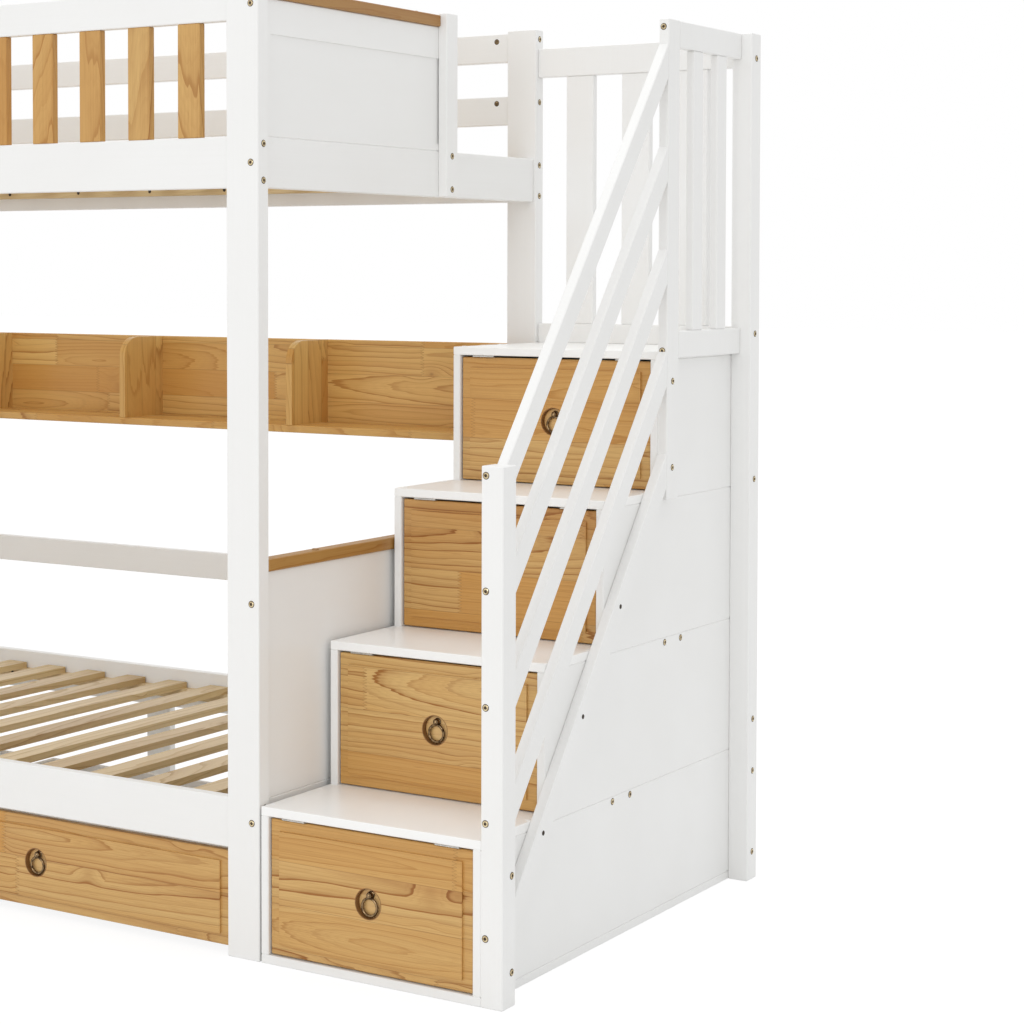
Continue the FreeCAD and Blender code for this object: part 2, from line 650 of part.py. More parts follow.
def slatted_guard(label, plane, rail_span, slat_span, ends, rails, slat_wide, count):
    """Two rails with evenly spaced upright slats between them.

    rail_span and slat_span run through the thickness, ends along the guard, and rails holds
    the low and high edge of the bottom rail and of the top rail.
    """
    rail_body = boards(f"{label}_rails", plane, *rail_span,
                       [rectangle(ends[0], low, ends[1], high) for low, high in rails])
    gap = (ends[1] - ends[0] - slat_wide * count) / (count + 1)
    slat_body = new_body(f"{label}_slats")
    slat = add(slat_body, plane, *slat_span,
               [rectangle(ends[0] + gap, rails[0][1], ends[0] + gap + slat_wide, rails[1][0])])
    repeat(slat_body, slat, "H_Axis", gap + slat_wide, count)
    ease(slat_body)
    group(label, [rail_body, slat_body])


SIDE_MIDDLE = BAR_LEFT + BAR_THICK / 2
slatted_guard("landing_side_guard", "YZ", (BAR_LEFT, BAR_RIGHT),
              (SIDE_MIDDLE - SLAT_THICK / 2, SIDE_MIDDLE + SLAT_THICK / 2),
              (UPPER_POST_FRONT + UPPER_POST_DEEP, REAR_POST_FRONT),
              ((SIDE_LOW_RAIL, SIDE_LOW_RAIL + SIDE_RAIL_TALL),
               (SIDE_TOP_RAIL, SIDE_TOP_RAIL + SIDE_RAIL_TALL)), SIDE_SLAT, SIDE_SLATS)
LANDING = ceiling(STEPS - 1) + BOARD
BACK_MIDDLE = BACK - BAR_THICK / 2
slatted_guard("landing_back_guard", "XZ", (BACK - BAR_THICK, BACK),
              (BACK_MIDDLE - SLAT_THICK / 2, BACK_MIDDLE + SLAT_THICK / 2),
              (BED_RIGHT, STAIR_RIGHT),
              ((LANDING, LANDING + BACK_LOW_TALL), (BACK_TOP_RAIL, BACK_TOP_RAIL + GUARD_TALL)),
              BACK_SLAT, BACK_SLATS)


# Fronts with ring pulls --------------------------------------------------------------------

RING_SIDES = 20
EYE_SIDES = 12
SHANK_SIDES = 6
rings = []


def raised_front(label, left, right, face, low, high):
    """A pine front: a raised field inside a lowered margin, and a round recess for a ring.

    face is the place of the raised field along Y.
    """
    margin = face + FIELD_LIFT
    middle, centre = (left + right) / 2, (low + high) / 2
    front = new_body(label)
    add(front, "XZ", margin, face + FRONT_THICK, [rectangle(left, low, right, high)])
    ease(front)
    add(front, "XZ", face, margin,
        [rectangle(left + MARGIN, low + MARGIN, right - MARGIN, high - MARGIN)])
    cut(front, "XZ", face, face + RECESS_DEEP, [circle(middle, centre, RECESS_RADIUS)])
    cut(front, "XZ", face + RECESS_DEEP, face + RECESS_DEEP + EYE_BITE,
        [regular(middle, centre - RING_DROP + RING_RADIUS, SHANK_BORE, SHANK_SIDES)])
    parts.append(front)


def ring_eye(middle, centre, face):
    """The eye that a ring pull swings in, with a shank driven into the wood behind the recess."""
    across, up = face + WIRE_DEEP, centre - RING_DROP + RING_RADIUS
    eye = new_body("ring_eye")
    left, right = middle - EYE_WIDE / 2, middle + EYE_WIDE / 2
    add(eye, "YZ", left, right, [regular(across, up, EYE_OUTER, EYE_SIDES)])
    add(eye, "XZ", across + (EYE_BORE + EYE_OUTER) / 2, face + RECESS_DEEP + EYE_BITE,
        [regular(middle, up, EYE_SHANK, SHANK_SIDES)])
    cut(eye, "YZ", left, right, [regular(across, up, EYE_BORE, EYE_SIDES)])
    return eye


def ring_pull(label, middle, centre, face):
    """A ring that hangs in its recess, made of short straight lengths of eight-sided wire."""
    up, across = centre - RING_DROP, face + WIRE_DEEP
    ring = new_body(label)
    add(ring, "XZ", across - WIRE, across + WIRE,
        [regular(middle, up, (RING_RADIUS + WIRE * way) / math.cos(math.pi / RING_SIDES), RING_SIDES)
         for way in (1, -1)])
    rings.append(ring)
    parts.append(ring)


# Flap doors of the stairs ------------------------------------------------------------------

FLAP_LEFT = CUPBOARD_LEFT + FLAP_SIDE
FLAP_RIGHT = CUPBOARD_RIGHT - FLAP_SIDE
HINGES = (FLAP_LEFT + HINGE_EDGE, FLAP_RIGHT - HINGE_EDGE - HINGE_LONG)
KNUCKLE_SIDES = 8
PIN_SIDES = 6


def hinge_axis(step):
    """The pin line of one flap, as its place along Y and its height."""
    return riser(step) + FLAP_INSET + FIELD_LIFT - KNUCKLE, ceiling(step) - FLAP_HEAD / 2


def moving_leaves(step):
    """Two hinge leaves on the flap's top edge, each with the middle one of three knuckles."""
    across, up = hinge_axis(step)
    leaves = new_body("moving_leaves")
    third = HINGE_LONG / 3
    plates, tongues = [], []
    for start in HINGES:
        tongue = (start + third + KNUCKLE_GAP, start + third * 2 - KNUCKLE_GAP)
        inner, outer = across + KNUCKLE + LEAF_GAP, across + LEAF_DEEP
        plates.append(polygon([(tongue[0], across), (tongue[1], across), (tongue[1], inner),
                               (start + HINGE_LONG, inner), (start + HINGE_LONG, outer),
                               (start, outer), (start, inner), (tongue[0], inner)]))
        tongues.append(tongue)
    add(leaves, "XY", up - KNUCKLE, up - KNUCKLE + LEAF_THICK, plates)
    for tongue in tongues:
        add(leaves, "YZ", *tongue, [regular(across, up, KNUCKLE, KNUCKLE_SIDES)])
        cut(leaves, "YZ", *tongue, [regular(across, up, PIN_BORE, PIN_SIDES)])
    return leaves


def fixed_leaves(step):
    """Two hinge leaves under the tread, each with the two outer knuckles and the pin."""
    across, up = hinge_axis(step)
    leaves = new_body("fixed_leaves")
    third = HINGE_LONG / 3
    plates, pins = [], []
    for start in HINGES:
        end = start + HINGE_LONG
        gap = (start + third, start + third * 2)
        inner, outer = across + KNUCKLE + LEAF_GAP, across + LEAF_DEEP
        plates.append(polygon([(start, across), (gap[0], across), (gap[0], inner), (gap[1], inner),
                               (gap[1], across), (end, across), (end, outer), (start, outer)]))
        pins.append((start, gap[0], gap[1], end))
    add(leaves, "XY", up + KNUCKLE - LEAF_THICK, up + KNUCKLE, plates)
    knuckle, pin = regular(across, up, KNUCKLE, KNUCKLE_SIDES), regular(across, up, PIN, PIN_SIDES)
    for start, gap_start, gap_end, end in pins:
        add(leaves, "YZ", start, gap_start, [knuckle])
        add(leaves, "YZ", gap_end, end, [knuckle])
        add(leaves, "YZ", gap_start, gap_end, [pin])
    return leaves


for step in range(STEPS):
    face = riser(step) + FLAP_INSET
    low, high = cupboard_floor(step) + FLAP_FOOT, ceiling(step) - FLAP_HEAD
    middle, centre = (FLAP_LEFT + FLAP_RIGHT) / 2, (low + high) / 2
    raised_front(f"flap_{step + 1}", FLAP_LEFT, FLAP_RIGHT, face, low, high)
    group(f"flap_fittings_{step + 1}", [moving_leaves(step), ring_eye(middle, centre, face)])
    ring_pull(f"flap_ring_{step + 1}", middle, centre, face)
group("flap_hinge_leaves", [fixed_leaves(step) for step in range(STEPS)])


# Drawers under the lower bunk --------------------------------------------------------------

AXLE_SIDES = 8


def drawer_box(label, left, right, front):
    """Two sides, a back and a bottom, all butted."""
    back = front + BOX_DEEP
    inner_left, inner_right = left + BOX_SIDE, right - BOX_SIDE
    sides = boards("drawer_sides", "XY", BOX_BASE, BOX_TOP,
                   [rectangle(left, front, inner_left, back), rectangle(inner_right, front, right, back)])
    rear = boards("drawer_back", "XY", BOX_BASE, BOX_TOP,
                  [rectangle(inner_left, back - BOX_SIDE, inner_right, back)])
    bottom = new_body("drawer_bottom")
    add(bottom, "XY", BOX_BASE, BOX_BASE + BOX_BOTTOM,
        [rectangle(inner_left, front, inner_right, back - BOX_SIDE)])
    group(label, [sides, rear, bottom])


def wheel_bracket(middle, across):
    """A plate under the drawer with two ears and an axle between them."""
    left, right = middle - FORK_WIDE / 2, middle + FORK_WIDE / 2
    front, back = across - FORK_DEEP / 2, across + FORK_DEEP / 2
    plate_low = BOX_BASE - EAR_THICK
    bracket = new_body("wheel_bracket")
    add(bracket, "YZ", left, right, [rectangle(front, EAR_FOOT, back, BOX_BASE)])
    cut(bracket, "YZ", left + EAR_THICK, right - EAR_THICK, [rectangle(front, EAR_FOOT, back, plate_low)])
    add(bracket, "YZ", left, right, [regular(across, WHEEL_RADIUS, AXLE, AXLE_SIDES)])
    return bracket


def drawer_wheels(label, middles, across):
    """Two wheels on one line, turned with a bore that runs on the brackets' axles."""
    wheels = new_body(label)
    turn(wheels, WHEEL_RADIUS, across,
         [rectangle(middle - WHEEL_WIDE / 2, across + WHEEL_BORE,
                    middle + WHEEL_WIDE / 2, across + WHEEL_RADIUS) for middle in middles])
    parts.append(wheels)


def drawer(side, left):
    """One wheeled drawer: front, box, fittings, ring pull and two pairs of wheels."""
    right = left + DRAWER_WIDE
    low, high = DRAWER_FOOT, DRAWER_FOOT + DRAWER_TALL
    back = FRONT_RAIL + FRONT_THICK
    middle, centre = (left + right) / 2, (low + high) / 2
    raised_front(f"drawer_front_{side}", left, right, FRONT_RAIL, low, high)
    drawer_box(f"drawer_box_{side}", left + BOX_INSET, right - BOX_INSET, back)
    middles = (left + BOX_INSET + WHEEL_SIDE, right - BOX_INSET - WHEEL_SIDE)
    rows = {"front": back + WHEEL_FRONT, "rear": back + BOX_DEEP - WHEEL_BACK}
    brackets = [wheel_bracket(place, across) for place in middles for across in rows.values()]
    group(f"drawer_fittings_{side}", brackets + [ring_eye(middle, centre, FRONT_RAIL)])
    ring_pull(f"drawer_ring_{side}", middle, centre, FRONT_RAIL)
    for row, across in rows.items():
        drawer_wheels(f"drawer_wheels_{side}_{row}", middles, across)


drawer("left", INNER_LEFT + DRAWER_GAP)
drawer("right", INNER_RIGHT - DRAWER_GAP - DRAWER_WIDE)


# Wire of the ring pulls --------------------------------------------------------------------

# Chamfers round both flat ends turn each ring's square wire into an eight-sided one.
doc.recompute()
for ring in rings:
    square = ring.Tip
    ends = [f"Edge{number}" for number, edge in enumerate(square.Shape.Edges, 1)
            if abs(edge.Vertexes[0].Y - edge.Vertexes[1].Y) < 0.001]
    chamfer = ring.newObject("PartDesign::Chamfer", f"{ring.Label}_wire")
    chamfer.Base = (square, ends)
    bind(chamfer, "Size", WIRE * (2 - math.sqrt(2)))
    ring.Tip = chamfer


# Tests and files ---------------------------------------------------------------------------

doc.recompute()
for item in doc.Objects:
    if "Invalid" in item.State or "Error" in item.State:
        raise RuntimeError(f"{item.Label} failed: {item.State}")
    if item.TypeId == "PartDesign::Pocket":
        before = item.BaseFeature.Shape.Volume
        if item.Shape.Volume > before - 0.1:
            raise RuntimeError(f"{item.Label} cuts nothing")
for part in parts:
    if part.Shape.isNull() or not part.Shape.isValid():
        raise RuntimeError(f"{part.Label} has no valid shape")

os.makedirs("parts", exist_ok=True)
for part in parts:
    part.Shape.exportStep(f"parts/{part.Label}.step")
print(len(parts), "parts,", sum(len(part.Shape.Solids) for part in parts), "solids")
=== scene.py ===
"""Bunk bed with storage stairs: finishes, fasteners, ring pulls and studio. Metres."""
import math

import bmesh
import bpy
from mathutils import Matrix, Vector


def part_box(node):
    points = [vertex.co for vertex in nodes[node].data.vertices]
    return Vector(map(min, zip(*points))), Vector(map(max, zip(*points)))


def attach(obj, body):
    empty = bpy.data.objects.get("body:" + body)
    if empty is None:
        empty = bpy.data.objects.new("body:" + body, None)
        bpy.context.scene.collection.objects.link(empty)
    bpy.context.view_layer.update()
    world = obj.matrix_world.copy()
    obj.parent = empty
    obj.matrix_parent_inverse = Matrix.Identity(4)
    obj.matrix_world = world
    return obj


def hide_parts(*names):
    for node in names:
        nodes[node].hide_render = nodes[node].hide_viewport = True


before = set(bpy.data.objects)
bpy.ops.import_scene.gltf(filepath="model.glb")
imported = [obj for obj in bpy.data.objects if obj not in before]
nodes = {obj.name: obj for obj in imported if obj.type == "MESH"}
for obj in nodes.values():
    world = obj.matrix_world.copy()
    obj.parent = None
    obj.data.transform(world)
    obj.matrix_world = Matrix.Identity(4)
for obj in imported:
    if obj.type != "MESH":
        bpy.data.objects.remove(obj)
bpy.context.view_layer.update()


# Bed posts ---------------------------------------------------------------------------------
# Four solid pine posts, sprayed satin white. The lacquer is thin, so the long grain shows
# faintly through it as a soft relief that runs up each post. The entry post and the centre
# legs are painted alike.

def shade(finish, kind, inputs=(), **settings):
    """Add a shader node. inputs pairs each socket with a value or with another node's output."""
    item = finish.node_tree.nodes.new(kind)
    for name, value in settings.items():
        setattr(item, name, value)
    for socket, value in dict(inputs).items():
        if isinstance(value, bpy.types.NodeSocket):
            finish.node_tree.links.new(value, item.inputs[socket])
        else:
            item.inputs[socket].default_value = value
    return item


def calc(finish, operation, *values):
    return shade(finish, "ShaderNodeMath", enumerate(values), operation=operation).outputs[0]


def ramp(finish, value, low, high, out_low=0.0, out_high=1.0):
    """A smooth step from one number to another."""
    inputs = {0: value, 1: low, 2: high, 3: out_low, 4: out_high}
    return shade(finish, "ShaderNodeMapRange", inputs, interpolation_type="SMOOTHSTEP").outputs[0]


def tint(finish, amount, first, second, mode="MIX"):
    """Mix two colours, by a number or a socket."""
    inputs = {0: amount, 6: first, 7: second}
    return shade(finish, "ShaderNodeMix", inputs, data_type="RGBA", blend_type=mode).outputs[2]


def noise(finish, place, scale, detail=3.0, roughness=0.5):
    inputs = {"Vector": place, "Scale": scale, "Detail": detail, "Roughness": roughness}
    return shade(finish, "ShaderNodeTexNoise", inputs).outputs["Fac"]


def stretched(finish, scale):
    """The piece's own coordinates, scaled along each axis."""
    place = shade(finish, "ShaderNodeTexCoord").outputs["Object"]
    return shade(finish, "ShaderNodeMapping", {"Vector": place, "Scale": scale}).outputs[0]


def new_finish(name, **values):
    """A material with these plain values on its shader; a _ in a name stands for a space."""
    finish = bpy.data.materials.new(name)
    finish.use_nodes = True
    shader = finish.node_tree.nodes["Principled BSDF"]
    for socket, value in values.items():
        shader.inputs[socket.replace("_", " ")].default_value = value
    return finish, shader


def relief(finish, shader, height, strength, depth):
    """Bump from a height socket; depth is in metres."""
    bump = shade(finish, "ShaderNodeBump", {"Strength": strength, "Distance": depth, "Height": height})
    finish.node_tree.links.new(bump.outputs[0], shader.inputs["Normal"])


WHITE = (0.885, 0.883, 0.871, 1.0)
WHITE_SHADE = (0.862, 0.858, 0.842, 1.0)
CLOUD_SCALE, PEEL_SCALE = 3.5, 520.0
WHITE_BUMP, WHITE_DEPTH = 0.22, 0.0004


def white_lacquer(name, grain, gloss=0.40, painted_lift=1.0):
    """Satin white. grain scales the relief: small along the fibres and large across them."""
    # A lift above 1 scales both whites up as painted light; the treads use it.
    white, shaded = ([value * painted_lift for value in colour[:3]] + [1.0]
                     for colour in (WHITE, WHITE_SHADE))
    finish, shader = new_finish(name, Specular_IOR_Level=0.45, Coat_Weight=0.12, Coat_Roughness=0.28)
    cloud = noise(finish, stretched(finish, (1, 1, 1)), CLOUD_SCALE, 4.0)
    fibre = noise(finish, stretched(finish, grain), 1.0, 5.0, 0.62)
    peel = noise(finish, stretched(finish, (1, 1, 1)), PEEL_SCALE, 2.0)
    links = finish.node_tree.links
    patchy = ramp(finish, cloud, 0.35, 0.7)
    colour = tint(finish, calc(finish, "MULTIPLY", patchy, 0.7), white, shaded)
    streak = ramp(finish, fibre, 0.30, 0.72, 0.0, 0.35)
    links.new(tint(finish, streak, colour, shaded), shader.inputs["Base Color"])
    links.new(ramp(finish, fibre, 0.3, 0.7, gloss - 0.05, gloss + 0.07), shader.inputs["Roughness"])
    height = calc(finish, "MULTIPLY_ADD", fibre, 0.8, calc(finish, "MULTIPLY", peel, 0.3))
    relief(finish, shader, height, WHITE_BUMP, WHITE_DEPTH)
    return finish


ACROSS, ALONG = 240.0, 4.0  # fibres per metre across the grain and along it
white_upright = white_lacquer("white lacquer, upright grain", (ACROSS, ACROSS, ALONG))
white_long = white_lacquer("white lacquer, grain along the bed", (ALONG, ACROSS, ACROSS))
white_cross = white_lacquer("white lacquer, grain across the bed", (ACROSS, ALONG, ACROSS))


def finish_nodes(finish, *names):
    for name in names:
        slots = nodes[name].data.materials
        slots.clear()
        slots.append(finish)


finish_nodes(white_upright, "post_front_left", "post_front_right", "post_rear_left",
             "post_rear_right", "entry_post", "centre_legs")


# Rails and end panels ----------------------------------------------------------------------
# Painted pine boards butted between the posts, and end panels with a shallow sunk field.

finish_nodes(white_long, "side_rail_lower_front", "side_rail_lower_rear", "side_rail_upper_front",
             "side_rail_upper_rear", "guard_rail_front", "guard_rails_rear")
finish_nodes(white_cross, "end_rails")
PANEL_GRAIN, PANEL_GLOSS = (26.0, 5.0, 26.0), 0.36
white_panel = white_lacquer("white lacquer, panel", PANEL_GRAIN, PANEL_GLOSS)
finish_nodes(white_panel, "end_panels_lower", "end_panels_upper")


# Pine slats of the front guard -------------------------------------------------------------
# Sixteen clear-lacquered slats, each sawn from its own board: every one has its own tone and
# its own run of growth rings.

PINE_PALE = (0.665, 0.428, 0.160, 1.0)
PINE_LATE = (0.320, 0.124, 0.020, 1.0)
PINE_WARM = (0.580, 0.292, 0.068, 1.0)
KNOT = (0.120, 0.042, 0.012, 1.0)
# Painted light for the floor of a ring's recess, and end grain with painted shade for its wall and
# rim.
PAINTED_FLOOR_LIGHT = (0.820, 0.540, 0.230, 1.0)
END_GRAIN_AND_SHADE = (0.180, 0.066, 0.016, 1.0)
AXES = {"x": 0, "y": 1, "z": 2}
GRAIN_STRETCH = 7.0  # how many times longer the figure is along the fibres
FEWEST_RINGS, MORE_RINGS = 75.0, 50.0  # growth rings per metre
WANDER, SWAY, WAVER, SWERVE = 0.050, 0.016, 0.0022, 0.022  # how far rings leave a true circle, m
SPREAD, DEEPER, LEAN = 0.10, 0.05, 0.24  # how each board lies in its log, by chance
TOOTH, TOOTH_SLOPE = 0.0029, 3.2  # finger joint
KNOT_CELLS = 6.5  # places for a knot per metre
# Soft edges of the painted light on a recess's floor and of the painted shade on its wall and rim.
WALL_BLEND, WALL_HALF = 0.004, (0.0021, 0.0006)  # soft edges of a recess's floor and wall, m


def distance(finish, first, second):
    squares = calc(finish, "MULTIPLY_ADD", first, first, calc(finish, "MULTIPLY", second, second))
    return calc(finish, "SQRT", squares)


def pine(name, axes, width, start=0.0, joint=None, middle=0.0, layer=9.0, heart=0.02,
         pale=PINE_PALE, late=PINE_LATE, warm=PINE_WARM, varied=0.85, knotty=0.34, hollow=None):
    """Lacquered pine as a solid cut from logs.

    axes names the directions along the fibres, across the staves and through the board. Each
    stave is width wide, counted from start. joint is the length between two finger joints.
    layer parts boards that lie behind or over one another, and heart is the log's middle.
    varied is how far the staves differ in tone, and knotty the share of places with a knot.
    hollow is (x, z, radius) of a turned recess: its wall and the rim round it are darkened,
    partly as end grain that soaks up more lacquer and partly as painted shade, and its floor
    is lifted pale as painted light. Both marks run through the whole board, so its back shows them
    too.
    """
    finish, shader = new_finish(name, Specular_IOR_Level=0.36, Coat_Weight=0.12, Coat_Roughness=0.24)
    links = finish.node_tree.links
    place = shade(finish, "ShaderNodeTexCoord").outputs["Object"]
    apart = shade(finish, "ShaderNodeSeparateXYZ", {0: place})
    run, side, deep = (apart.outputs[AXES[axis]] for axis in axes)

    stave_place = calc(finish, "DIVIDE", calc(finish, "SUBTRACT", side, start), width)
    stave = calc(finish, "FLOOR", stave_place)
    board_place = calc(finish, "DIVIDE", calc(finish, "ADD", deep, 0.5), layer)
    board = calc(finish, "FLOOR", board_place)
    if joint:
        first = shade(finish, "ShaderNodeCombineXYZ", {0: stave, 1: board, 2: 3.7}).outputs[0]
        shift = shade(finish, "ShaderNodeTexWhiteNoise", {"Vector": first}).outputs["Value"]
        tooth = calc(finish, "MULTIPLY", calc(finish, "PINGPONG", side, TOOTH), TOOTH_SLOPE)
        piece_place = calc(finish, "MULTIPLY_ADD", shift, 7.0,
                           calc(finish, "DIVIDE", calc(finish, "ADD", run, tooth), joint))
        piece = calc(finish, "FLOOR", piece_place)
        part_run = calc(finish, "SUBTRACT", calc(finish, "SUBTRACT", piece_place, piece), 0.5)
        local_run = calc(finish, "MULTIPLY", part_run, joint)
    else:
        piece = 0.0
        local_run = calc(finish, "SUBTRACT", run, middle)
    where = shade(finish, "ShaderNodeCombineXYZ", {0: piece, 1: stave, 2: board}).outputs[0]
    dice = shade(finish, "ShaderNodeTexWhiteNoise", {"Vector": where})
    luck = shade(finish, "ShaderNodeSeparateColor", {0: dice.outputs["Color"]}).outputs
    tone = dice.outputs["Value"]

    # The board's own frame: how far across it, and how far from the heart of its log.
    part_side = calc(finish, "SUBTRACT", calc(finish, "SUBTRACT", stave_place, stave), 0.5)
    across = calc(finish, "MULTIPLY_ADD", part_side, width,
                  calc(finish, "MULTIPLY", calc(finish, "SUBTRACT", luck[0], 0.5), SPREAD))
    part_deep = calc(finish, "SUBTRACT", calc(finish, "SUBTRACT", board_place, board), 0.5)
    slope = calc(finish, "MULTIPLY", calc(finish, "SUBTRACT", luck[2], 0.5), LEAN)
    out = calc(finish, "MULTIPLY_ADD", luck[1], DEEPER, heart)
    out = calc(finish, "ADD", out, calc(finish, "MULTIPLY", slope, local_run))
    out = calc(finish, "MULTIPLY_ADD", part_deep, layer, out)

    # Grain coordinates, short along the fibres, and moved from piece to piece.
    stretch = {AXES[axes[0]]: 1.0, AXES[axes[1]]: GRAIN_STRETCH, AXES[axes[2]]: GRAIN_STRETCH}
    scale = [stretch[index] for index in range(3)]
    moved = shade(finish, "ShaderNodeVectorMath", {0: dice.outputs["Color"], "Scale": 40.0},
                  operation="SCALE").outputs[0]
    grain = shade(finish, "ShaderNodeVectorMath", {0: stretched(finish, scale), 1: moved},
                  operation="ADD").outputs[0]

    # Knots: a few branches go through the board. The rings swerve round each, and its core is
    # dark.
    knot_scale = [1.0 if value == 1.0 else 1.7 for value in scale]
    knot_place = shade(finish, "ShaderNodeVectorMath", {0: stretched(finish, knot_scale), 1: moved},
                       operation="ADD").outputs[0]
    cells = shade(finish, "ShaderNodeTexVoronoi", {"Vector": knot_place, "Scale": KNOT_CELLS})
    cell_luck = shade(finish, "ShaderNodeSeparateColor", {0: cells.outputs["Color"]}).outputs[0]
    rare = calc(finish, "GREATER_THAN", cell_luck, 1.0 - knotty)
    near = calc(finish, "MULTIPLY", rare, ramp(finish, cells.outputs["Distance"], 0.42, 0.0))
    core = calc(finish, "MULTIPLY", rare, ramp(finish, cells.outputs["Distance"], 0.075, 0.030))

    # Growth rings: circles round the log's heart that wander, sway and waver. Each year has
    # its own strength and tint.
    wander = calc(finish, "SUBTRACT", noise(finish, grain, 1.3, 1.0), 0.5)
    sway = calc(finish, "SUBTRACT", noise(finish, grain, 4.0, 2.0), 0.5)
    waver = calc(finish, "SUBTRACT", noise(finish, grain, 15.0, 1.0), 0.5)
    radius = distance(finish, across, out)
    radius = calc(finish, "MULTIPLY_ADD", wander, WANDER, radius)
    radius = calc(finish, "MULTIPLY_ADD", sway, SWAY, radius)
    radius = calc(finish, "MULTIPLY_ADD", waver, WAVER, radius)
    radius = calc(finish, "MULTIPLY_ADD", near, SWERVE, radius)
    density = calc(finish, "MULTIPLY_ADD", tone, MORE_RINGS, FEWEST_RINGS)
    rings = calc(finish, "MULTIPLY", radius, density)
    ring = calc(finish, "FLOOR", rings)
    phase = calc(finish, "FRACT", rings)
    year = shade(finish, "ShaderNodeTexWhiteNoise", {"W": calc(finish, "ADD", ring, tone)},
                 noise_dimensions="1D")
    strong = year.outputs["Value"]

    # Each year fades in over its summer and ends in a thin dark line. Fainter lines run
    # between these.
    fall = ramp(finish, phase, 1.0, 0.965)
    summer = calc(finish, "MULTIPLY", ramp(finish, phase, 0.25, 0.96), 0.40)
    line = calc(finish, "MULTIPLY", ramp(finish, phase, 0.76, 0.93), 0.66)
    late_wood = calc(finish, "MULTIPLY", calc(finish, "ADD", summer, line), fall)
    late_wood = calc(finish, "MULTIPLY", late_wood, calc(finish, "MULTIPLY_ADD", strong, 0.80, 0.20))
    minor = calc(finish, "FRACT", calc(finish, "MULTIPLY", rings, 3.7))
    minor = calc(finish, "MULTIPLY", ramp(finish, minor, 0.3, 0.9), ramp(finish, minor, 1.0, 0.9))
    late_wood = calc(finish, "MULTIPLY_ADD", minor, 0.09, late_wood)

    # Fine fibres, short dark dashes where resin canals are cut, and broad warm patches.
    fine = [value * (3.0 if value == 1.0 else 110.0) for value in scale]
    fibre = noise(finish, stretched(finish, fine), 1.0, 4.0, 0.6)
    dashes = [value * (22.0 if value == 1.0 else 130.0) for value in scale]
    canal = ramp(finish, noise(finish, stretched(finish, dashes), 1.0, 0.0), 0.72, 0.80, 0.0, 0.30)
    patch = noise(finish, grain, 0.9, 3.0)

    # The colour, from the year's own tint to the knots' cores.
    yearly = shade(finish, "ShaderNodeSeparateColor", {0: year.outputs["Color"]}).outputs[1]
    colour = tint(finish, calc(finish, "MULTIPLY", yearly, 0.30), pale, warm)
    colour = tint(finish, late_wood, colour, late)
    colour = tint(finish, ramp(finish, patch, 0.42, 0.75, 0.0, 0.45), colour, warm, "MULTIPLY")
    colour = tint(finish, ramp(finish, tone, 0.25, 1.0, 0.0, varied), colour, warm)
    colour = tint(finish, ramp(finish, fibre, 0.62, 0.30, 0.0, 0.26), colour, late)
    colour = tint(finish, canal, colour, late)
    colour = tint(finish, ramp(finish, near, 0.45, 1.0, 0.0, 0.40), colour, late)
    colour = tint(finish, calc(finish, "MULTIPLY", core, 0.85), colour, KNOT)
    # Dark hairlines where the pieces and the staves are glued.
    if joint:
        run_edge = calc(finish, "SUBTRACT", 0.5, calc(finish, "ABSOLUTE", part_run))
        seam = ramp(finish, calc(finish, "MULTIPLY", run_edge, joint), 0.0012, 0.0003)
        side_edge = calc(finish, "SUBTRACT", 0.5, calc(finish, "ABSOLUTE", part_side))
        glue = ramp(finish, calc(finish, "MULTIPLY", side_edge, width), 0.0008, 0.0002)
        dark = calc(finish, "MAXIMUM", calc(finish, "MULTIPLY", seam, 0.50),
                    calc(finish, "MULTIPLY", glue, 0.34))
        colour = tint(finish, dark, colour, KNOT)
    # The hollow: its wall and the rim round it are darkened, partly as end grain and partly as painted
    # shade, and its floor is lifted pale as painted light.
    if hollow:
        from_middle = distance(finish, calc(finish, "SUBTRACT", apart.outputs[0], hollow[0]),
                               calc(finish, "SUBTRACT", apart.outputs[2], hollow[1]))
        off_wall = calc(finish, "ABSOLUTE", calc(finish, "SUBTRACT", from_middle, hollow[2]))
        floor_light = ramp(finish, from_middle, hollow[2], hollow[2] - WALL_BLEND, 0.0, 0.55)
        colour = tint(finish, floor_light, colour, PAINTED_FLOOR_LIGHT)
        colour = tint(finish, ramp(finish, off_wall, *WALL_HALF, 0.0, 0.80), colour, END_GRAIN_AND_SHADE)
    links.new(colour, shader.inputs["Base Color"])
    links.new(ramp(finish, late_wood, 0.0, 1.0, 0.38, 0.48), shader.inputs["Roughness"])
    relief(finish, shader, calc(finish, "MULTIPLY_ADD", fibre, 0.7, late_wood), 0.25, 0.00025)
    return finish


GUARD_SLATS, SLAT_WIDE = 16, 0.050
GUARD_LEFT, GUARD_LONG, GUARD_MIDDLE = -1.210, 1.920, 1.55
SLAT_PITCH = (GUARD_LONG - GUARD_SLATS * SLAT_WIDE) / (GUARD_SLATS + 1) + SLAT_WIDE
guard_pine = pine("pine, guard slats", "zxy", SLAT_PITCH, GUARD_LEFT + (SLAT_PITCH - SLAT_WIDE) / 2,
                  middle=GUARD_MIDDLE, heart=0.10, varied=0.6, knotty=0.06)
finish_nodes(guard_pine, "front_guard_slats")


# Bed slats and battens ---------------------------------------------------------------------
# Unlacquered sawn pine, paler than the fronts. The slats lie loose on two battens that are
# screwed inside the side rails.

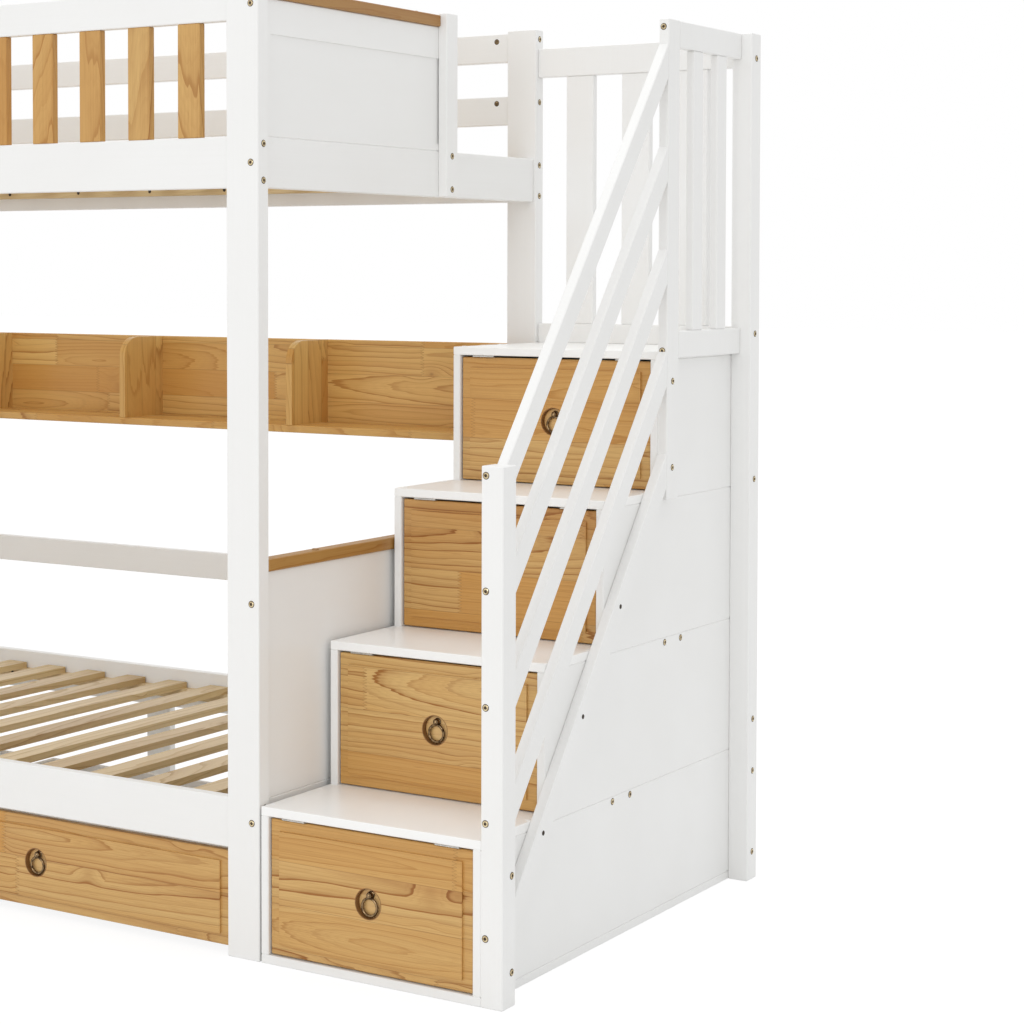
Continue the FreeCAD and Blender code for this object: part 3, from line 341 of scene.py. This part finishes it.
RAW_PALE = (0.700, 0.530, 0.280, 1.0)
RAW_LATE = (0.470, 0.305, 0.125, 1.0)
BATTEN_PALE = (0.800, 0.640, 0.410, 1.0)
BED_PITCH, BED_LEFT = 0.1256, -1.2548
slat_pine = pine("pine, bed slats", "yxz", BED_PITCH, BED_LEFT, layer=0.6, heart=0.17,
                 pale=RAW_PALE, late=RAW_LATE, warm=RAW_LATE, varied=0.5)
batten_pine = pine("pine, battens", "xyz", 0.5, joint=0.9, layer=0.7, heart=0.16,
                   pale=BATTEN_PALE, late=RAW_LATE, warm=RAW_PALE)
finish_nodes(slat_pine, "bed_slats_lower", "bed_slats_upper")
finish_nodes(batten_pine, "slat_battens")


# Pine caps and shelf -----------------------------------------------------------------------
# Solid caps on the end panels. The shelf behind the lower bunk is made of edge-glued staves,
# with uprights whose grain stands.

SHELF_PALE = (0.780, 0.525, 0.185, 1.0)
SHELF_LATE = (0.440, 0.215, 0.055, 1.0)
CAP_PALE = (0.440, 0.240, 0.068, 1.0)
cap_pine = pine("pine, end caps", "yxz", 1.0, start=-0.25, layer=0.6, heart=0.16,
                pale=CAP_PALE, warm=CAP_PALE)
shelf_pine = pine("pine, shelf", "xzy", 0.062, start=0.862, joint=0.53, layer=0.3, heart=0.05,
                  pale=SHELF_PALE, late=SHELF_LATE)
upright_pine = pine("pine, shelf uprights", "zyx", 0.050, joint=0.9, layer=0.3, heart=0.12,
                    pale=SHELF_PALE, late=SHELF_LATE)
finish_nodes(cap_pine, "end_panel_caps")
finish_nodes(shelf_pine, "shelf_case")
finish_nodes(upright_pine, "shelf_dividers")


# Stair boards ------------------------------------------------------------------------------
# The cupboards are white painted boards: smooth, with only the roller's fine stipple. The
# treads have the same paint, lifted to a lighter white as painted light on their tops.

STIPPLE = (9.0, 9.0, 9.0)
BOARD_GLOSS = 0.33
white_board = white_lacquer("white painted board", STIPPLE, BOARD_GLOSS)
finish_nodes(white_board, "stair_sides_left", "stair_sides_right", "stair_floor",
             "stair_cross_boards", "stair_back_panels", "drawer_box_left", "drawer_box_right")
white_tread_painted_light = white_lacquer("white painted tread, painted light", STIPPLE, BOARD_GLOSS, painted_lift=1.06)
finish_nodes(white_tread_painted_light, "stair_treads", "stair_landing")


# Stair posts, slanted bars and landing guards ----------------------------------------------
# Painted pine again. The bars are cut upright at both ends and screwed to the posts. Their
# grain slants, so the relief is equally coarse along Y and Z.

SLANTED = 12.0
white_slant = white_lacquer("white lacquer, slanted bars", (ACROSS, SLANTED, SLANTED))
finish_nodes(white_upright, "stair_newel", "stair_post_rear", "stair_post_upper",
             "landing_back_guard", "landing_side_guard")
finish_nodes(white_slant, "stair_bars")


# Flap doors and drawer fronts --------------------------------------------------------------
# Edge-glued, finger-jointed pine, routed down round the edge and hollowed behind the ring.

RECESS_RADIUS = 0.026
RECESS_RISE = 0.004
STAVE_WIDE, STAVE_LONG, STEP_GOING = 0.078, 0.56, 0.208
STEPS = (1, 2, 3, 4)
SIDES = ("left", "right")
fronts = [(f"flap_{step}", f"flap_ring_{step}") for step in STEPS]
fronts += [(f"drawer_front_{side}", f"drawer_ring_{side}") for side in SIDES]
for front, ring in fronts:
    ring_low, ring_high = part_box(ring)
    ring_middle = (ring_low + ring_high) / 2
    # Each front's hollow has a wall and rim in painted shade and a floor in painted light.
    front_pine = pine(f"pine, {front}", "xzy", STAVE_WIDE, start=0.03, joint=STAVE_LONG,
                      layer=STEP_GOING, heart=0.075,
                      hollow=(ring_middle.x, ring_middle.z + RECESS_RISE, RECESS_RADIUS))
    finish_nodes(front_pine, front)


# Hinges, eyes and wheel brackets -----------------------------------------------------------
# Nickel-plated butt hinges and steel brackets; the eyes that hold the rings are old bronze.

BRONZE = (0.300, 0.200, 0.105, 1.0)
BRONZE_DARK = (0.050, 0.028, 0.014, 1.0)
NICKEL = (0.660, 0.650, 0.620, 1.0)
NICKEL_DULL = (0.480, 0.470, 0.445, 1.0)
NICKEL_ROUGH, STEEL_ROUGH = 0.28, 0.34
EYE_REACH = 0.010  # metal this near to a front's middle is the eye


def metal(name, bright, dull, rough, eye_at=None):
    """Plated metal with a cloudy tarnish. Near eye_at along X it is bronze instead."""
    finish, shader = new_finish(name, Metallic=1.0)
    links = finish.node_tree.links
    cloud = noise(finish, stretched(finish, (1, 1, 1)), 160.0, 4.0, 0.6)
    brushed = noise(finish, stretched(finish, (60, 900, 900)), 1.0, 3.0)
    colour = tint(finish, ramp(finish, cloud, 0.35, 0.68), bright, dull)
    if eye_at is not None:
        place = shade(finish, "ShaderNodeTexCoord").outputs["Object"]
        across = shade(finish, "ShaderNodeSeparateXYZ", {0: place}).outputs[0]
        off = calc(finish, "ABSOLUTE", calc(finish, "SUBTRACT", across, eye_at))
        aged = tint(finish, ramp(finish, cloud, 0.35, 0.68), BRONZE, BRONZE_DARK)
        colour = tint(finish, calc(finish, "LESS_THAN", off, EYE_REACH), colour, aged)
    links.new(colour, shader.inputs["Base Color"])
    links.new(ramp(finish, cloud, 0.3, 0.7, rough - 0.06, rough + 0.12), shader.inputs["Roughness"])
    relief(finish, shader, brushed, 0.12, 0.0001)
    return finish


def middle_of(node):
    low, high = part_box(node)
    return (low.x + high.x) / 2


finish_nodes(metal("nickel plate", NICKEL, NICKEL_DULL, NICKEL_ROUGH), "flap_hinge_leaves")
flap_middle = middle_of("flap_1")
flap_fittings = metal("nickel plate and bronze eye", NICKEL, NICKEL_DULL, NICKEL_ROUGH, flap_middle)
finish_nodes(flap_fittings, *(f"flap_fittings_{step}" for step in STEPS))
for side in SIDES:
    fittings = metal(f"steel brackets and bronze eye, {side}", NICKEL, NICKEL_DULL, STEEL_ROUGH,
                     middle_of(f"drawer_front_{side}"))
    finish_nodes(fittings, f"drawer_fittings_{side}")


# Drawer wheels -----------------------------------------------------------------------------
# Solid nylon wheels on the brackets' axles.

NYLON = (0.022, 0.022, 0.024, 1.0)
NYLON_SCUFFED = (0.055, 0.053, 0.050, 1.0)
nylon, nylon_shader = new_finish("black nylon", Specular_IOR_Level=0.4)
speckle = noise(nylon, stretched(nylon, (1, 1, 1)), 700.0, 2.0)
scuff = noise(nylon, stretched(nylon, (1, 1, 1)), 60.0, 4.0)
worn = tint(nylon, ramp(nylon, scuff, 0.4, 0.7), NYLON, NYLON_SCUFFED)
nylon.node_tree.links.new(worn, nylon_shader.inputs["Base Color"])
nylon.node_tree.links.new(ramp(nylon, scuff, 0.3, 0.7, 0.38, 0.6), nylon_shader.inputs["Roughness"])
relief(nylon, nylon_shader, speckle, 0.2, 0.0002)
finish_nodes(nylon, *(f"drawer_wheels_{side}_{row}" for side in SIDES for row in ("front", "rear")))


# Ring pulls --------------------------------------------------------------------------------
# Each pull is a thick bronze ring cast on to a ball. The ball turns on the eye at the top of
# the recess, and a small domed rose behind it covers the eye's shank.

RING_DROP = 0.018  # from the pivot to the middle of the source's ring
RING_RADIUS, WIRE = 0.0152, 0.0024
BALL_RADIUS, BALL_TO_RING = 0.0061, 0.0050
ROSE_RADIUS, ROSE_FLAT = 0.0072, 0.34
RECESS_FLOOR = 0.0102  # behind the front's face
bronze = metal("old bronze", BRONZE, BRONZE_DARK, 0.18)


def build(name, shape, finishes, body):
    """Make a piece of a bmesh, with its finishes, on its body."""
    mesh = bpy.data.meshes.new(name)
    shape.to_mesh(mesh)
    shape.free()
    for finish in finishes:
        mesh.materials.append(finish)
    piece = bpy.data.objects.new(name, mesh)
    bpy.context.scene.collection.objects.link(piece)
    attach(piece, body)
    return piece


def smooth(shape):
    for face in shape.faces:
        face.smooth = True


def ring_pull(name, node, front_node, body, front_body):
    low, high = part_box(node)
    pivot = (low + high) / 2 + Vector((0, 0, RING_DROP))
    pull = bmesh.new()

    # The wire's round section stands beside the ring's middle and is spun about Y.
    centre = pivot - Vector((0, 0, BALL_TO_RING + RING_RADIUS))
    section = bmesh.ops.create_circle(pull, segments=16, radius=WIRE, matrix=Matrix.Translation(
        centre + Vector((RING_RADIUS, 0, 0))))["verts"]
    edges = list({edge for vertex in section for edge in vertex.link_edges})
    bmesh.ops.spin(pull, geom=section + edges, cent=centre, axis=(0, 1, 0), angle=math.tau,
                   steps=56, use_merge=True, use_duplicate=False)
    bmesh.ops.create_uvsphere(pull, u_segments=28, v_segments=16, radius=BALL_RADIUS,
                              matrix=Matrix.Translation(pivot))
    bmesh.ops.recalc_face_normals(pull, faces=pull.faces)
    smooth(pull)
    piece = build(f"{name}_ring", pull, [bronze], body)
    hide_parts(node)

    rose_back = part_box(front_node)[0].y + RECESS_FLOOR
    rose = bmesh.new()
    bmesh.ops.create_uvsphere(rose, u_segments=28, v_segments=14, radius=ROSE_RADIUS,
                              matrix=Matrix.Translation((pivot.x, rose_back, pivot.z))
                              @ Matrix.Diagonal((1, ROSE_FLAT, 1, 1)))
    hidden = [vertex for vertex in rose.verts if vertex.co.y > rose_back + 0.0005]
    bmesh.ops.delete(rose, geom=hidden, context="VERTS")
    smooth(rose)
    build(f"{name}_eye", rose, [bronze], front_body)


for step in STEPS:
    ring_pull(f"flap_pull_{step}", f"flap_ring_{step}", f"flap_{step}",
              f"flap_ring_{step}", f"flap_{step}")
for side in SIDES:
    ring_pull(f"drawer_pull_{side}", f"drawer_ring_{side}", f"drawer_front_{side}",
              f"drawer_ring_{side}", f"drawer_{side}")


# Bolts, barrel nuts and screws -------------------------------------------------------------
# Yellow-plated socket bolts join the frame, flush in their holes, with barrel nuts let into
# the inner faces of the rails. Small dark screws hold the battens and the lowest slanted bar.

BRASS = (0.760, 0.640, 0.410, 1.0)
BRASS_DULL = (0.360, 0.260, 0.140, 1.0)
brass = metal("yellow plate", BRASS, BRASS_DULL, 0.24)
# The rim round each head and the floor of its socket are painted shade: a flat dark colour where the
# gap and the socket would lie in shadow.
HOLE_SHADE_DARK = (0.050, 0.034, 0.022, 1.0)
HOLE_SHADE_PALE = (0.110, 0.080, 0.055, 1.0)
hole, hole_shader = new_finish("hole in painted shade", Specular_IOR_Level=0.2)
painted_hole_shade = tint(hole, noise(hole, stretched(hole, (1, 1, 1)), 900.0), HOLE_SHADE_DARK, HOLE_SHADE_PALE)
hole.node_tree.links.new(painted_hole_shade, hole_shader.inputs["Base Color"])
hole_shader.inputs["Roughness"].default_value = 0.8
HOLE_WIDER = 0.22  # the hole's rim, as a part of the head's radius
ABOVE = 0.00015  # the hole's rim lies this much above the wood


def fastener(radius, socket, sides, proud=0.0006):
    """A round head in its hole, with a socket of this many sides; 2 sides cut a slot."""
    head = bmesh.new()
    bmesh.ops.create_circle(head, cap_ends=True, segments=24, radius=radius * (1 + HOLE_WIDER))
    top = head.faces[:]
    head.normal_update()
    if top[0].normal.z < 0:
        bmesh.ops.reverse_faces(head, faces=top)
    for face in top:
        face.material_index = 1
    bmesh.ops.translate(head, vec=(0, 0, ABOVE), verts=head.verts)

    def step_in(thickness, depth):
        bmesh.ops.inset_region(head, faces=top, thickness=thickness, depth=depth,
                               use_boundary=True, use_even_offset=True)

    # The rim of the hole, a flat dark ring of painted shade for the gap round the head, then the
    # head's side, its sloped edge and its flat, and the socket, whose dark colour is painted shade
    # too.
    step_in(radius * HOLE_WIDER, 0.0)
    for face in top:
        face.material_index = 0
    step_in(radius * 0.01, proud)
    step_in(radius * 0.14, 0.0003)
    step_in(radius * 0.20, 0.0)
    for vertex in top[0].verts:
        angle = math.atan2(vertex.co.y, vertex.co.x)
        if sides == 2:
            vertex.co.x *= 1.25
            vertex.co.y *= 0.28
        else:
            part = math.tau / sides
            reach = socket / math.cos(angle % part - part / 2)
            vertex.co.x, vertex.co.y = math.cos(angle) * reach, math.sin(angle) * reach
    for face in top:
        face.material_index = 1
    step_in(0.00001, -0.0004 - proud)
    mesh = bpy.data.meshes.new("fastener pattern")
    head.to_mesh(mesh)
    head.free()
    return mesh


def scatter(name, pattern, spots, finishes):
    """Repeat a pattern at each (place, outward direction), as one piece of the frame."""
    together = bmesh.new()
    for place, outward in spots:
        together.from_mesh(pattern)
        together.verts.ensure_lookup_table()
        fresh = together.verts[-len(pattern.vertices):]
        turn = Vector(outward).to_track_quat("Z", "Y").to_matrix().to_4x4()
        bmesh.ops.transform(together, matrix=Matrix.Translation(place) @ turn, verts=fresh)
    bpy.data.meshes.remove(pattern)
    build(name, together, finishes, "frame")


LEFT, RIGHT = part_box("post_front_left")[0].x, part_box("post_front_right")[1].x
FRONT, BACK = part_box("post_front_right")[0].y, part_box("post_rear_right")[1].y
FRONT_IN, BACK_IN = 0.016, 0.015  # bolt to the post's edge
SIDE_RAIL_BOLTS = (1.437, 1.373, 0.270, 0.206)
bolts = []
for edge, outward, inward in ((LEFT, -1, 1), (RIGHT, 1, -1)):
    for height in (1.680, 1.404, 0.631, 0.244):
        for face, facing in ((FRONT, -1), (BACK, 1)):
            bolts.append(((edge + inward * FRONT_IN, face, height), (0, facing, 0)))
    for height in SIDE_RAIL_BOLTS:
        for depth in (FRONT + FRONT_IN, BACK - BACK_IN):
            bolts.append(((edge, depth, height), (outward, 0, 0)))
    bolts.append(((edge, FRONT + FRONT_IN, 1.699), (outward, 0, 0)))
    for height in (1.7006, 1.569, 0.548):
        bolts.append(((edge, BACK - BACK_IN, height), (outward, 0, 0)))
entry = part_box("entry_post")[1].x
bolts += [((entry, FRONT + 0.604, height), (1, 0, 0)) for height in (1.440, 1.375)]
newel_low, newel_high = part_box("stair_newel")
NEWEL_IN = 0.009
for height in (0.881, 0.691, 0.499, 0.307, 0.116):
    bolts.append(((newel_low.x + NEWEL_IN, FRONT, height), (0, -1, 0)))
for height in (0.219, 0.058):
    bolts.append(((newel_high.x, FRONT + 0.030, height), (1, 0, 0)))
for height in (1.636, 1.092, 0.803, 0.323, 0.219, 0.056):
    bolts.append(((newel_high.x, BACK - 0.020, height), (1, 0, 0)))
upper_low, upper_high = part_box("stair_post_upper")
bolts += [((newel_low.x + NEWEL_IN, upper_low.y, height), (0, -1, 0)) for height in (1.670, 1.067)]
bolts += [((upper_high.x, upper_low.y + 0.022, height), (1, 0, 0)) for height in (1.010, 0.848)]
board_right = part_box("stair_sides_right")[1].x
for depth, height in ((0.453, 0.2525), (0.520, 0.2525), (0.657, 0.515), (0.723, 0.515)):
    bolts.append(((board_right, FRONT + depth, height), (1, 0, 0)))
scatter("frame_bolts", fastener(0.0052, 0.0026, 6), bolts, [brass, hole])

POST_WIDE, NUT_IN = 0.070, 0.0287
rail_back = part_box("side_rail_upper_rear")[0].y
rail_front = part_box("side_rail_upper_front")[1].y
nuts = []
for edge, inward in ((LEFT + POST_WIDE, 1), (RIGHT - POST_WIDE, -1)):
    for height in (1.699, 1.569, 1.437, 1.373, 0.548, 0.270, 0.206):
        nuts.append(((edge + inward * NUT_IN, rail_back, height), (0, -1, 0)))
    for height in (1.699, *SIDE_RAIL_BOLTS):
        nuts.append(((edge + inward * NUT_IN, rail_front, height), (0, 1, 0)))
BRASS_DARK = (0.110, 0.070, 0.040, 1.0)
old_brass = metal("dull yellow plate", BRASS_DULL, BRASS_DARK, 0.40)
scatter("barrel_nuts", fastener(0.0048, 0.0021, 2, 0.0), nuts, [old_brass, hole])

BAR_RISE, BAR_RUN = 0.751, 0.582  # the slanted bars, between newel and upper post
BAR_TOP, BAR_PITCH, BARS = 0.888, 0.1908, 5  # the highest bar's top at the newel
BAR_START = BAR_TOP - BAR_PITCH * (BARS - 1)  # the lowest bar's top there
BAR_MIDDLE = 0.0326  # from a bar's top to its middle, measured upright
NEWEL_WIDE = 0.042
bar_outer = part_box("stair_bars")[1].x
screws = []
for depth in (0.170, 0.307, 0.444):
    height = BAR_START + BAR_RISE / BAR_RUN * (depth - NEWEL_WIDE) - BAR_MIDDLE
    screws.append(((bar_outer, FRONT + depth, height), (1, 0, 0)))
BATTEN_FACE, BATTEN_MIDDLE = 0.051, 0.039  # from the posts' faces and from the rail's lower edge
SCREW_LEFT, SCREW_PITCH = -1.130, 0.22
for count in range(9):
    for rail_base in (0.193, 1.360):
        x = SCREW_LEFT + SCREW_PITCH * count
        screws.append(((x, BACK - BATTEN_FACE, rail_base + BATTEN_MIDDLE), (0, -1, 0)))
        screws.append(((x, FRONT + BATTEN_FACE, rail_base + BATTEN_MIDDLE), (0, 1, 0)))
STEEL_BLACK = (0.090, 0.075, 0.065, 1.0)
STEEL_DARK = (0.035, 0.028, 0.024, 1.0)
blackened = metal("blackened steel", STEEL_BLACK, STEEL_DARK, 0.36)
scatter("small_screws", fastener(0.0036, 0.0015, 4, 0.0002), screws, [blackened, hole])


# Screw covers ------------------------------------------------------------------------------
# White plastic caps cover the screws along both edges of each tread, and brown ones those in
# the end caps.

def cover(radius, tall):
    """A low domed cap."""
    dome = bmesh.new()
    bmesh.ops.create_cone(dome, cap_ends=True, segments=24, radius1=radius, radius2=radius * 0.97,
                          depth=tall, matrix=Matrix.Translation((0, 0, tall / 2)))
    rim = [edge for edge in dome.edges if all(v.co.z > tall * 0.9 for v in edge.verts)]
    bmesh.ops.bevel(dome, geom=rim, offset=tall * 0.8, offset_type="OFFSET", segments=4,
                    profile=0.5, affect="EDGES", material=-1)
    smooth(dome)
    mesh = bpy.data.meshes.new("cover pattern")
    dome.to_mesh(mesh)
    dome.free()
    return mesh


STEP_RISE, CUPBOARD_SHORT, BOARD = 0.263, 0.002, 0.016
SUNK = 0.0002  # each cover's foot is this deep in the tread
STAIR_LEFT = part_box("stair_treads")[0].x
tread_covers = []
for step in range(4):
    for across in (0.008, 0.446):
        for behind in (0.028, 0.167):
            top = STEP_RISE * (step + 1) - CUPBOARD_SHORT + BOARD
            place = (STAIR_LEFT + across, FRONT + STEP_GOING * step + behind, top - SUNK)
            tread_covers.append((place, (0, 0, 1)))
scatter("tread_screw_covers", cover(0.0048, 0.0012), tread_covers, [white_board])

BROWN = (0.330, 0.180, 0.070, 1.0)
BROWN_PALE = (0.420, 0.240, 0.100, 1.0)
cap_plastic, cap_shader = new_finish("brown plastic", Specular_IOR_Level=0.45)
mottle = noise(cap_plastic, stretched(cap_plastic, (1, 1, 1)), 400.0)
cap_plastic.node_tree.links.new(tint(cap_plastic, mottle, BROWN, BROWN_PALE),
                                cap_shader.inputs["Base Color"])
cap_shader.inputs["Roughness"].default_value = 0.42
CAP_MIDDLE, LOWER_CAP_TOP, UPPER_CAP_TOP = 0.014, 0.7078, 1.7138
cap_covers = []
for edge in (LEFT + CAP_MIDDLE, RIGHT - CAP_MIDDLE):
    for depth in (0.187, 0.490, 0.790):
        cap_covers.append(((edge, FRONT + depth, LOWER_CAP_TOP), (0, 0, 1)))
    for depth in (0.100, 0.514):
        cap_covers.append(((edge, FRONT + depth, UPPER_CAP_TOP), (0, 0, 1)))
scatter("cap_screw_covers", cover(0.0065, 0.0026), cap_covers, [cap_plastic])


# Studio ------------------------------------------------------------------------------------
# A white floor that runs to a white background, a broad soft lamp in front and one overhead,
# and the camera at the photograph's place.

FLOOR_WHITE = (0.86, 0.86, 0.855, 1.0)
FLOOR_GLOW, FLOOR_SHARE = 1.1, 0.8
SKY = (0.995, 0.997, 1.0, 1.0)
SKY_STRENGTH = 0.875
floor_finish, floor_shader = new_finish("studio floor", Roughness=0.9, Specular_IOR_Level=0.1)
floor_shader.inputs["Base Color"].default_value = FLOOR_WHITE


def seen_white(owner, plain, share):
    """Show a shader as white to camera, glossy and transmission rays, by this share."""
    tree = owner.node_tree
    path = tree.nodes.new("ShaderNodeLightPath")
    seen = calc(owner, "MAXIMUM", path.outputs["Is Camera Ray"],
                calc(owner, "MAXIMUM", path.outputs["Is Glossy Ray"],
                     path.outputs["Is Transmission Ray"]))
    mix = tree.nodes.new("ShaderNodeMixShader")
    tree.links.new(calc(owner, "MULTIPLY", seen, share), mix.inputs[0])
    tree.links.new(plain, mix.inputs[1])
    return mix


glow = shade(floor_finish, "ShaderNodeEmission", {"Color": (1, 1, 1, 1), "Strength": FLOOR_GLOW})
floor_mix = seen_white(floor_finish, floor_shader.outputs[0], FLOOR_SHARE)
floor_finish.node_tree.links.new(glow.outputs[0], floor_mix.inputs[2])
output = floor_finish.node_tree.nodes["Material Output"]
floor_finish.node_tree.links.new(floor_mix.outputs[0], output.inputs["Surface"])

ground = bmesh.new()
bmesh.ops.create_grid(ground, x_segments=1, y_segments=1, size=40.0)
floor_mesh = bpy.data.meshes.new("studio_floor")
ground.to_mesh(floor_mesh)
ground.free()
floor_mesh.materials.append(floor_finish)
floor = bpy.data.objects.new("studio_floor", floor_mesh)
bpy.context.scene.collection.objects.link(floor)

world = bpy.data.worlds.new("studio")
world.use_nodes = True
bpy.context.scene.world = world
ambient = world.node_tree.nodes["Background"]
ambient.inputs["Color"].default_value = SKY
ambient.inputs["Strength"].default_value = SKY_STRENGTH
bright = shade(world, "ShaderNodeBackground", {"Color": (1, 1, 1, 1), "Strength": 1.0})
world_mix = seen_white(world, ambient.outputs[0], 1.0)
world.node_tree.links.new(bright.outputs[0], world_mix.inputs[2])
world.node_tree.links.new(world_mix.outputs[0], world.node_tree.nodes["World Output"].inputs[0])


def softbox(name, place, aim, size, watts, colour):
    lamp = bpy.data.lights.new(name, "AREA")
    lamp.shape = "DISK"
    lamp.size = size
    lamp.energy = watts
    lamp.color = colour
    holder = bpy.data.objects.new(name, lamp)
    bpy.context.scene.collection.objects.link(holder)
    holder.location = place
    holder.rotation_euler = (Vector(aim) - Vector(place)).to_track_quat("-Z", "Y").to_euler()


softbox("key", (1.6, -9.0, 2.8), (0.2, 0.0, 0.8), 3.2, 112, (1.0, 1.0, 1.0))
softbox("top", (0.6, 0.7, 6.0), (0.4, 0.0, 0.6), 3.0, 70, (0.965, 0.985, 1.0))

camera_data = bpy.data.cameras.new("camera")
camera_data.lens = 79.37
camera_data.sensor_width = 36.0
camera_data.shift_x = 0.0323
camera_data.shift_y = -0.1587
camera = bpy.data.objects.new("camera", camera_data)
bpy.context.scene.collection.objects.link(camera)
camera.location = (3.1851, -3.6207, 1.2161)
camera.rotation_euler = (math.radians(88.0), math.radians(-0.10), math.radians(31.95))
bpy.context.scene.camera = camera
bpy.context.scene.view_settings.view_transform = "Standard"
